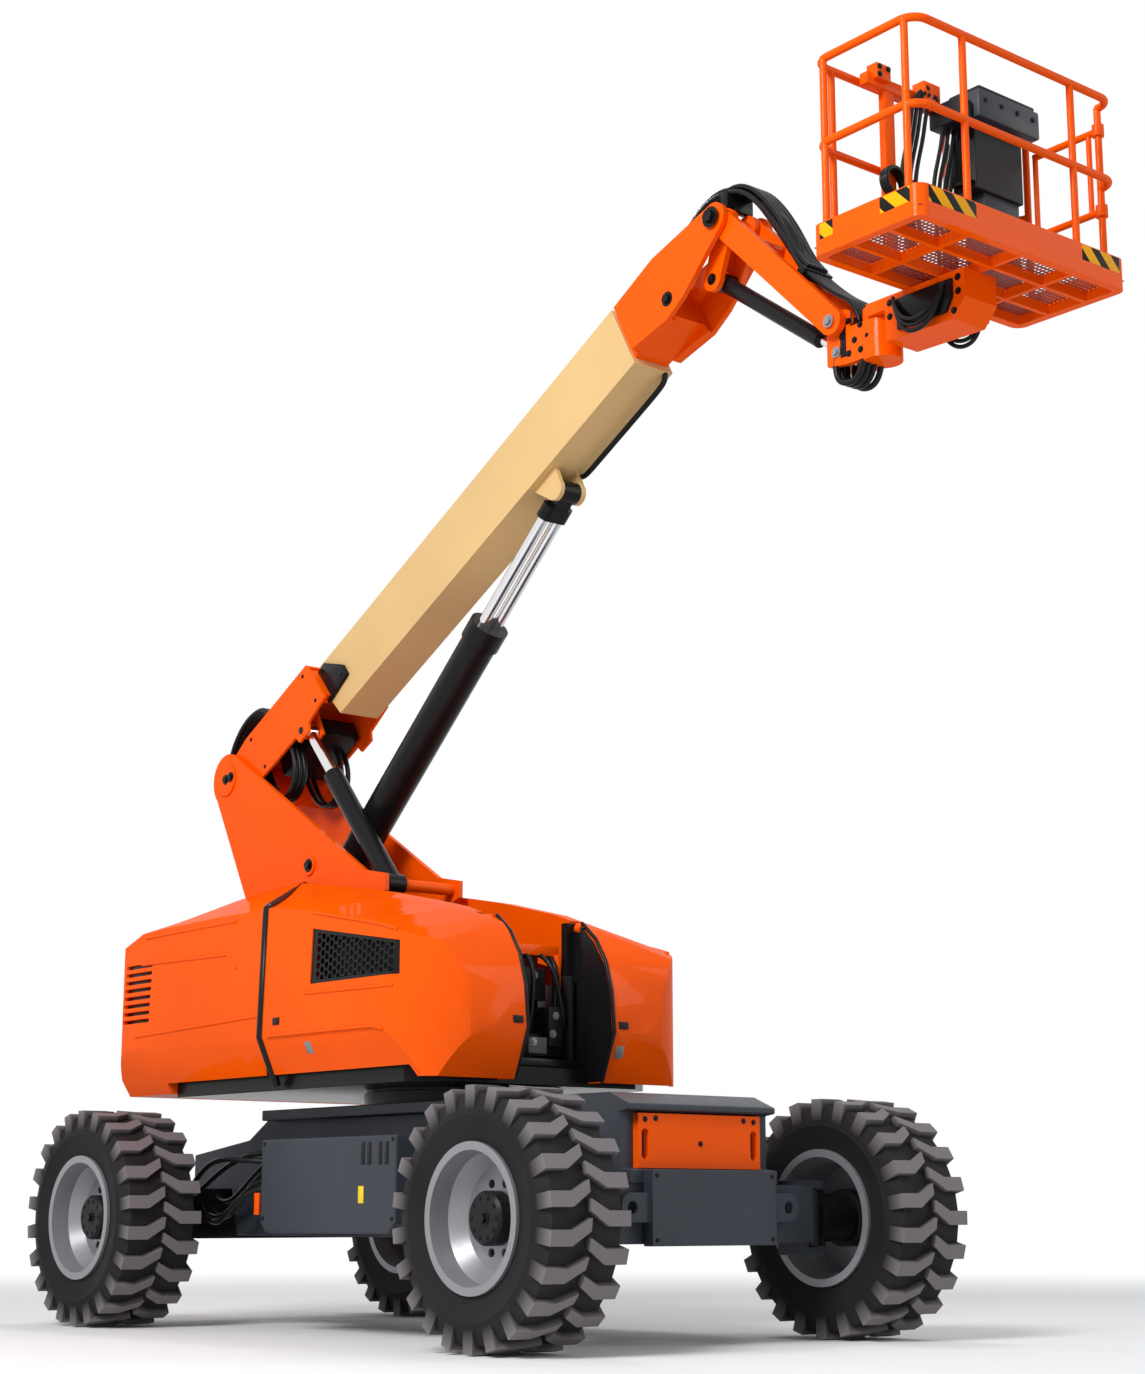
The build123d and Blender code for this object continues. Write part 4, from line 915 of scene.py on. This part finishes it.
hazard = stripes("hazard_stripes")
PATCH_LOW = 5.105
PATCH_HIGH = 5.183
PATCH_OUT = 0.0015
PATCH_EDGE = 0.0004
patch_x, patch_y = (half + PATCH_OUT for half in PLATFORM_HALF)
PATCHES = [
    # name, place on the platform, direction across, start, end
    ("front_right", (patch_x, 0.0), LEFT, -0.68, -0.36), ("front_left", (patch_x, 0.0), LEFT, 0.4, 0.68),
    ("rear_right", (-patch_x, 0.0), RIGHT, 0.4, 0.68), ("rear_left", (-patch_x, 0.0), RIGHT, -0.68, -0.4),
    ("right_front", (0.0, -patch_y), AHEAD, 0.1, 0.285),
    ("right_rear", (0.0, -patch_y), AHEAD, -0.285, -0.2),
    ("left_front", (0.0, patch_y), -AHEAD, -0.285, -0.1), ("left_rear", (0.0, patch_y), -AHEAD, 0.2, 0.285),
]
for name, (ahead, left), across, start, end in PATCHES:
    outline = rectangle(start, end, PATCH_LOW, PATCH_HIGH)
    place = PLATFORM + Vector((ahead, left, 0.0))
    plate(
        "hazard_" + name, place, across, UP, outline, SHEET, "platform", "orange_paint",
        edge=PATCH_EDGE, material=hazard,
    )
print("hazard patches", len(PATCHES))

# %% [markdown]
# The control station stands at the back of the platform: a broad head over a tall box, beside hoses.
# An orange mast carries the cables up from the floor, and a slack cable hangs in a coil on it.

# %% Control station and mast
CONSOLE_PARTS = [
    # name, ahead, left, height, size, slot, edge
    ("console_head", 3.79, 0.42, 6.02, (0.25, 0.46, 0.15), "slate_paint", 0.012),
    ("console_lid", 3.80, 0.42, 6.105, (0.2, 0.42, 0.03), "dark_plastic", 0.006),
    ("console_foot", 3.76, 0.44, 5.36, (0.13, 0.27, 0.5), "slate_paint", 0.01),
    ("console_side", 3.78, 0.13, 5.97, (0.2, 0.1, 0.12), "dark_plastic", 0.008),
    ("console_valves", 3.77, 0.22, 5.74, (0.14, 0.1, 0.22), "black_paint", 0.006),
    ("console_lock", 3.84, 0.5, 5.3, (0.03, 0.06, 0.12), "dark_plastic", 0.004),
]
MAST_PARTS = [
    # name, ahead, left, height, size, slot, edge
    ("mast", 3.72, -0.27, 5.55, (0.04, 0.07, 0.92), "orange_paint", 0.004),
    ("mast_arm", 3.72, -0.25, 6.02, (0.05, 0.36, 0.06), "orange_paint", 0.005),
    ("mast_head", 3.74, -0.34, 6.06, (0.07, 0.1, 0.08), "orange_paint", 0.005),
    ("mast_box", 3.74, 0.0, 6.05, (0.08, 0.12, 0.11), "orange_paint", 0.006),
]
SCREW = 0.009
screws = [(at(3.917, y, 6.04), AHEAD) for y in (0.24, 0.36, 0.48, 0.6)]
blocks("platform", CONSOLE_PARTS)
bolts("console_screws", screws, SCREW, "platform", "black_paint")
blocks("platform", MAST_PARTS)
MAST_BOLTS = ((-0.37, 6.08), (-0.31, 6.08), (-0.37, 6.04), (-0.03, 6.07), (0.03, 6.03))
mast_spots = [(at(3.777, y, z), AHEAD) for y, z in MAST_BOLTS]
bolts("mast_bolts", mast_spots, SCREW, "platform", "black_paint")
COLUMN_HOSES = (-0.18, -0.15, -0.12, -0.08, 0.05, 0.09, 0.13, 0.17)
COLUMN_ROUTE = [
    # ahead, left of the hose's foot, height
    (3.74, 0.0, 5.09), (3.74, 0.02, 5.3), (3.71, -0.03, 5.55), (3.77, 0.03, 5.8), (3.75, 0.06, 6.0),
    (3.78, 0.1, 6.04),
]
column_routes = side_by_side([at(x, y, z) for x, y, z in COLUMN_ROUTE], COLUMN_HOSES)
bundle("column_hoses", column_routes, CABLE, "platform")
COIL_MIDDLE = at(3.75, -0.29, 5.5)
COIL_RADIUS = 0.075
COIL_TURNS = 3
COIL_STEPS = 10
STEP_AHEAD = 0.0016
coil = []
for n in range(COIL_TURNS * COIL_STEPS + 1):
    turn = 2 * pi * n / COIL_STEPS
    coil.append(COIL_MIDDLE + Vector((STEP_AHEAD * n, COIL_RADIUS * cos(turn), COIL_RADIUS * sin(turn))))
bundle("mast_coil", [coil], SLIM_HOSE, "platform")
print("column hoses", len(column_routes))

# %% [markdown]
# The jib's end, the turning head and the arm under the platform are a busy joint, bolted up from plates.
# Black bolts, a dark valve cover and looped hoses show the way the real one is put together.

# %% Turning head
SUPPORT_SIDE = 0.095
ARM_SIDE = 0.115
PLATE_BOLT = 0.011
SUPPORT_SPOTS = [
    # ahead, height
    (3.26, 4.99), (3.26, 4.82), (3.34, 4.95), (3.34, 4.82), (3.3, 4.88), (3.215, 4.92), (3.39, 4.88),
]
bolts("support_bolts", pairs(SUPPORT_SPOTS, SUPPORT_SIDE), PLATE_BOLT, "platform_support", "black_paint")
# A black plate sunk in each side of the support is painted shade for the gap between its plates.
GAP_SHADE = rectangle(3.203, 3.243, 4.81, 5.0)
GAP_SUNK = 0.001
for name, hand in HANDS:
    face = at(0.0, outside(hand, SUPPORT_SIDE - GAP_SUNK, SHEET), 0.0)
    plate("support_gap_shade_" + name, face, AHEAD, UP, GAP_SHADE, SHEET, "platform_support", "black_paint", FINE_EDGE)
block("support_block", at(3.285, 0.0, 4.9), (0.06, 0.112, 0.24), "platform_support", "black_paint", 0.006)
VALVE = [(3.62, 4.83), (3.93, 4.83), (3.97, 4.9), (3.97, 4.99), (3.62, 4.99)]
VALVE_THICK = 0.02
ARM_LOOP = [
    # ahead, out, height, share of the drop
    (3.6, 0.135, 5.0, 0), (3.66, 0.17, 4.86, 1), (3.8, 0.18, 4.8, 1), (3.9, 0.17, 4.88, 1),
    (3.93, 0.135, 4.98, 0),
]
LOOP_DROPS = (0.0, 0.03, 0.06)
for name, hand in HANDS:
    base = at(0.0, outside(hand, ARM_SIDE, VALVE_THICK), 0.0)
    plate("arm_valve_" + name, base, AHEAD, UP, VALVE, VALVE_THICK, "platform", "black_paint", 0.003)
    loops = [[at(x, hand * y, z - share * drop) for x, y, z, share in ARM_LOOP] for drop in LOOP_DROPS]
    bundle("arm_hoses_" + name, loops, CABLE, "platform")
ARM_SPOTS = [(3.56, 4.99), (3.56, 4.92), (4.0, 4.99), (4.0, 4.92), (3.97, 4.83)]
bolts("arm_bolts", pairs(ARM_SPOTS, ARM_SIDE), PLATE_BOLT, "platform", "black_paint")
print("turning head dressed")

# %% [markdown]
# The chassis has lockers on its sides with screwed corners and two pairs of slots, whose dark insides are
# painted shade.
# A blank label, a side reflector and the screws of the front beam and cover finish the low parts.

# %% Chassis details
BOX_SIDE = 0.9
BEAM_FRONT = 2.11
COVER_FRONT = 2.0
BOX_SPOTS = [(-0.66, 1.03), (-0.66, 0.62), (0.59, 1.03), (0.59, 0.62)]
BOX_SLOTS = [rectangle(x, x + 0.035, 0.9, 1.02) for x in (0.3, 0.36, 0.46, 0.52)]
LABEL = rectangle(0.28, 0.33, 0.7, 0.79)
REFLECTOR = rectangle(-0.735, -0.689, 0.64, 0.76)
REFLECTOR_OUT = 0.907
REFLECTOR_THICK = 0.012
THIN = 0.002
SMALL_SCREW = 0.007
bolts("box_screws", pairs(BOX_SPOTS, BOX_SIDE), SMALL_SCREW, "chassis", "black_paint")
for name, hand in HANDS:
    face = at(0.0, outside(hand, BOX_SIDE, THIN), 0.0)
    # Each slot is a black plate on the locker's side: painted shade inside the slot.
    for n, slit in enumerate(BOX_SLOTS):
        slit_name = "box_vent_%s_%d" % (name, n)
        plate(slit_name, face, AHEAD, UP, slit, THIN, "chassis", "black_paint", FINE_EDGE)
    yellow = finish("label_yellow_" + name, (0.85, 0.6, 0.02), 0.45)
    plate("box_label_" + name, face, AHEAD, UP, LABEL, THIN, "chassis", "cream_paint", FINE_EDGE, yellow)
    side = at(0.0, hand * REFLECTOR_OUT - REFLECTOR_THICK / 2, 0.0)
    plate("reflector_" + name, side, AHEAD, UP, REFLECTOR, REFLECTOR_THICK, "chassis", "orange_paint")
beam_spots = [(at(BEAM_FRONT, y, z), AHEAD) for y in (-0.39, 0.39) for z in (0.52, 0.83)]
bolts("beam_screws", beam_spots, SMALL_SCREW, "chassis", "black_paint")
COVER_SPOTS = ((0.0, 0.99), (-0.3, 1.11), (0.3, 1.11), (0.37, 1.105), (-0.37, 1.105))
cover_spots = [(at(COVER_FRONT, y, z), AHEAD) for y, z in COVER_SPOTS]
bolts("cover_bolts", cover_spots, SCREW, "chassis", "black_paint")
# Black plates just behind the front cover are painted shade in its pockets.
POCKET_SHADES = [
    # name, ahead, left, height, size, slot, edge
    ("pocket_shade_0", 1.9575, -0.37, 0.985, (0.003, 0.07, 0.17), "black_paint", FINE_EDGE),
    ("pocket_shade_1", 1.9575, 0.37, 0.985, (0.003, 0.07, 0.17), "black_paint", FINE_EDGE),
]
blocks("chassis", POCKET_SHADES)
print("chassis details done")

# %% [markdown]
# Brake and drive hoses hang between the rear axle and the lockers, a loose dark bunch on each side.

# %% Axle hoses
AXLE_HOSES = [
    # start ahead, start height, sag, end ahead, end height
    (-1.62, 0.74, 0.06, -0.9, 0.98), (-1.6, 0.68, 0.1, -0.92, 0.92), (-1.58, 0.64, 0.04, -0.9, 0.86),
    (-1.64, 0.78, -0.06, -0.88, 1.0), (-1.56, 0.7, 0.14, -0.94, 0.8), (-1.6, 0.82, -0.1, -0.9, 0.94),
]
FIRST_OUT = 0.62
PITCH_OUT = 0.035
BULGE_OUT = 0.03
END_OUT = 0.6
LEAD = 0.12
for name, hand in HANDS:
    routes = []
    for n, (start, low, sag, end, high) in enumerate(AXLE_HOSES):
        y = hand * (FIRST_OUT + PITCH_OUT * n)
        middle = at((start + end) / 2, y + hand * BULGE_OUT, (low + high) / 2 - sag)
        first = [at(start, y, low), at(start + LEAD, y, low - sag)]
        routes.append(first + [middle, at(end - LEAD, y, high), at(end, hand * END_OUT, high)])
    bundle("axle_hoses_" + name, routes, THICK_HOSE, "chassis")
print("axle hoses", 2 * len(AXLE_HOSES))

# %% [markdown]
# Behind the grilles and in the louvres the shade is deep. A black sheet behind each grille and a black
# strip on the floor of each louvre are painted shade.

# %% Grilles and louvres
GRILLE_SHADE = [(-0.12, 1.87), (0.69, 1.87), (0.69, 2.08), (-0.12, 2.21)]
GRILLE_OUT = 0.912
LOUVRE_FLOOR = 0.955
LOUVRES = 8
LOUVRE_PITCH = 0.048
HALF_LONG = 0.16
HALF_HIGH = 0.0115
for name, hand in HANDS:
    back = at(0.0, hand * GRILLE_OUT, 0.0)
    hood = "hood_" + name
    # A black sheet behind the grille: painted shade.
    plate("grille_shade_" + name, back, AHEAD, UP, GRILLE_SHADE, SHEET, hood, "black_paint", THIN_EDGE)
    # Black strips on the louvres' floors: painted shade.
    face = at(-2.02, outside(hand, LOUVRE_FLOOR, THIN), 1.962)
    for n in range(LOUVRES):
        z = (n - (LOUVRES - 1) / 2) * LOUVRE_PITCH
        outline = rectangle(-HALF_LONG, HALF_LONG, z - HALF_HIGH, z + HALF_HIGH)
        louvre_shade_name = "louvre_%s_%d" % (name, n)
        plate(louvre_shade_name, face, AHEAD, UP, outline, THIN, "turntable", "black_paint", FINE_EDGE)
print("louvres", 2 * LOUVRES)

# %% [markdown]
# Pressed lines stiffen the mouldings of the rear covers and the hoods, and a bead shows each one.
# The rear covers are nearly flat, so a formula gives their side.
# The hoods are rounded, so each bead there takes its points from the nearest points of the cover.

# %% Pressed lines
PRESSED = [
    # rear end, front end, height at the rear, height at the front, drop past the front
    (-1.95, -1.0, 2.3, 2.31, 0.0), (-1.98, -0.98, 2.14, 2.12, 0.09), (-2.0, -0.68, 1.7, 1.74, 0.0),
]
PAST_FRONT = 0.1
SUNK = 0.002
BEAD = 0.011
HOOD_BEAD = 0.009
WAIST_OUT = 1.0
WAIST_Z = 1.62
ROOF_IN = 0.025
ROOF_RISE = 0.73


def cover_side(z):
    """How far out the cover's side is at a height, as it leans in from its waist to its roof."""
    return WAIST_OUT - ROOF_IN * (z - WAIST_Z) / ROOF_RISE


for name, hand in HANDS:
    for n, (rear, front, z_rear, z_front, drop) in enumerate(PRESSED):
        ends = [(rear, z_rear), ((rear + front) / 2, (z_rear + z_front) / 2), (front, z_front)]
        ends.append((front + PAST_FRONT, z_front - drop))
        line = [at(x, hand * (cover_side(z) - SUNK), z) for x, z in ends]
        strip("pressed_%s_%d" % (name, n), line, BEAD, "turntable", "orange_paint")
HOOD_LINES = [
    # rear end, front end, height at the rear, height at the front
    (-0.5, 0.62, 1.622, 1.6), (-0.12, 0.7, 2.29, 2.14), (-0.14, 0.7, 1.84, 1.83),
]
LINE_STEPS = 12
AIM_OUT = 1.05
for name, hand in HANDS:
    for n, (rear, front, z_rear, z_front) in enumerate(HOOD_LINES):
        line = []
        for step in range(LINE_STEPS + 1):
            part = step / LINE_STEPS
            aim = at(rear + part * (front - rear), hand * AIM_OUT, z_rear + part * (z_front - z_rear))
            line.append(on_shell("hood_" + name, aim)[0])
        strip("hood_line_%s_%d" % (name, n), line, HOOD_BEAD, "hood_" + name, "orange_paint")
print("pressed lines", 2 * (len(PRESSED) + len(HOOD_LINES)))

# %% [markdown]
# The floor is a plain pale sheet that fades to white paper in the distance, as a studio sweep does.
# The world is a soft dim dome, so the paint keeps its own colour.
# White is what the camera sees behind the machine.
# Rays off gloss and through glass see the same white, so metal shows the backdrop it stands before.
# One large lamp from the front right gives the shapes a lit side and the floor a soft shadow.
# A small lamp from above and a broad one from the left open up the dark side.

# %% Floor and light


def shows_backdrop(tree):
    """A socket that is 1 for rays from the camera, off gloss and through glass, and 0 for the rest."""
    ray = tree.nodes.new("ShaderNodeLightPath")
    total = ray.outputs["Is Camera Ray"]
    for kind in ("Is Glossy Ray", "Is Transmission Ray"):
        either = tree.nodes.new("ShaderNodeMath")
        either.operation = "MAXIMUM"
        tree.links.new(total, either.inputs[0])
        tree.links.new(ray.outputs[kind], either.inputs[1])
        total = either.outputs["Value"]
    return total


FLOOR_HALF = 60.0
floor_mesh = bpy.data.meshes.new("floor")
floor_corners = rectangle(-FLOOR_HALF, FLOOR_HALF, -FLOOR_HALF, FLOOR_HALF)
floor_mesh.from_pydata([(x, y, 0) for x, y in floor_corners], [], [(0, 1, 2, 3)])
floor = bpy.data.objects.new("floor", floor_mesh)
scene.collection.objects.link(floor)
FADE_START = 5.0
FADE_END = 16.0
floor_finish = finish("floor_pale", (0.86, 0.86, 0.86), 0.9, drift=0.01)
tree = floor_finish.node_tree
shader = tree.nodes["Principled BSDF"]
place = tree.nodes.new("ShaderNodeTexCoord")
away = tree.nodes.new("ShaderNodeVectorMath")
away.operation = "LENGTH"
fade = tree.nodes.new("ShaderNodeMapRange")
fade.interpolation_type = "SMOOTHSTEP"
put(fade, {"From Min": FADE_START, "From Max": FADE_END})
share = tree.nodes.new("ShaderNodeMath")
share.operation = "MULTIPLY"
white = tree.nodes.new("ShaderNodeEmission")
put(white, {"Color": (1.0, 1.0, 1.0, 1.0), "Strength": 1.0})
blend = tree.nodes.new("ShaderNodeMixShader")
tree.links.new(shows_backdrop(tree), share.inputs[1])
wire(tree, [
    (place, "Object", away, 0),
    (away, "Value", fade, "Value"),
    (fade, "Result", share, 0),
    (share, "Value", blend, "Fac"),
    (shader, "BSDF", blend, 1),
    (white, "Emission", blend, 2),
    (blend, "Shader", tree.nodes["Material Output"], "Surface"),
])
floor_mesh.materials.append(floor_finish)

world = bpy.data.worlds.new("studio")
scene.world = world
world.use_nodes = True
tree = world.node_tree
backdrop = tree.nodes["Background"]
put(backdrop, {"Color": (0.93, 0.96, 1.0, 1.0), "Strength": 0.45})
paper = tree.nodes.new("ShaderNodeBackground")
put(paper, {"Color": (1.0, 1.0, 1.0, 1.0), "Strength": 1.0})
either = tree.nodes.new("ShaderNodeMixShader")
tree.links.new(shows_backdrop(tree), either.inputs["Fac"])
wire(tree, [
    (backdrop, "Background", either, 1),
    (paper, "Background", either, 2),
    (either, "Shader", tree.nodes["World Output"], "Surface"),
])


def lamp(name, place, aim, power, size):
    """A square soft lamp that looks at a point."""
    data = bpy.data.lights.new(name, "AREA")
    data.energy = power
    data.size = size
    holder = bpy.data.objects.new(name, data)
    holder.location = place
    holder.rotation_euler = (aim - place).to_track_quat("-Z", "Y").to_euler()
    scene.collection.objects.link(holder)


MIDDLE = at(0.5, 0.0, 2.6)
LAMPS = [
    # name, place, power, size
    ("key", at(5.0, -11.5, 11.0), 1800.0, 5.0),
    ("top", at(-2.5, 1.8, 10.0), 160.0, 1.2),
    ("fill", at(10.0, 8.0, 7.0), 230.0, 6.0),
]
for name, place, power, size in LAMPS:
    lamp(name, place, MIDDLE, power, size)
print("floor and lamps in place")
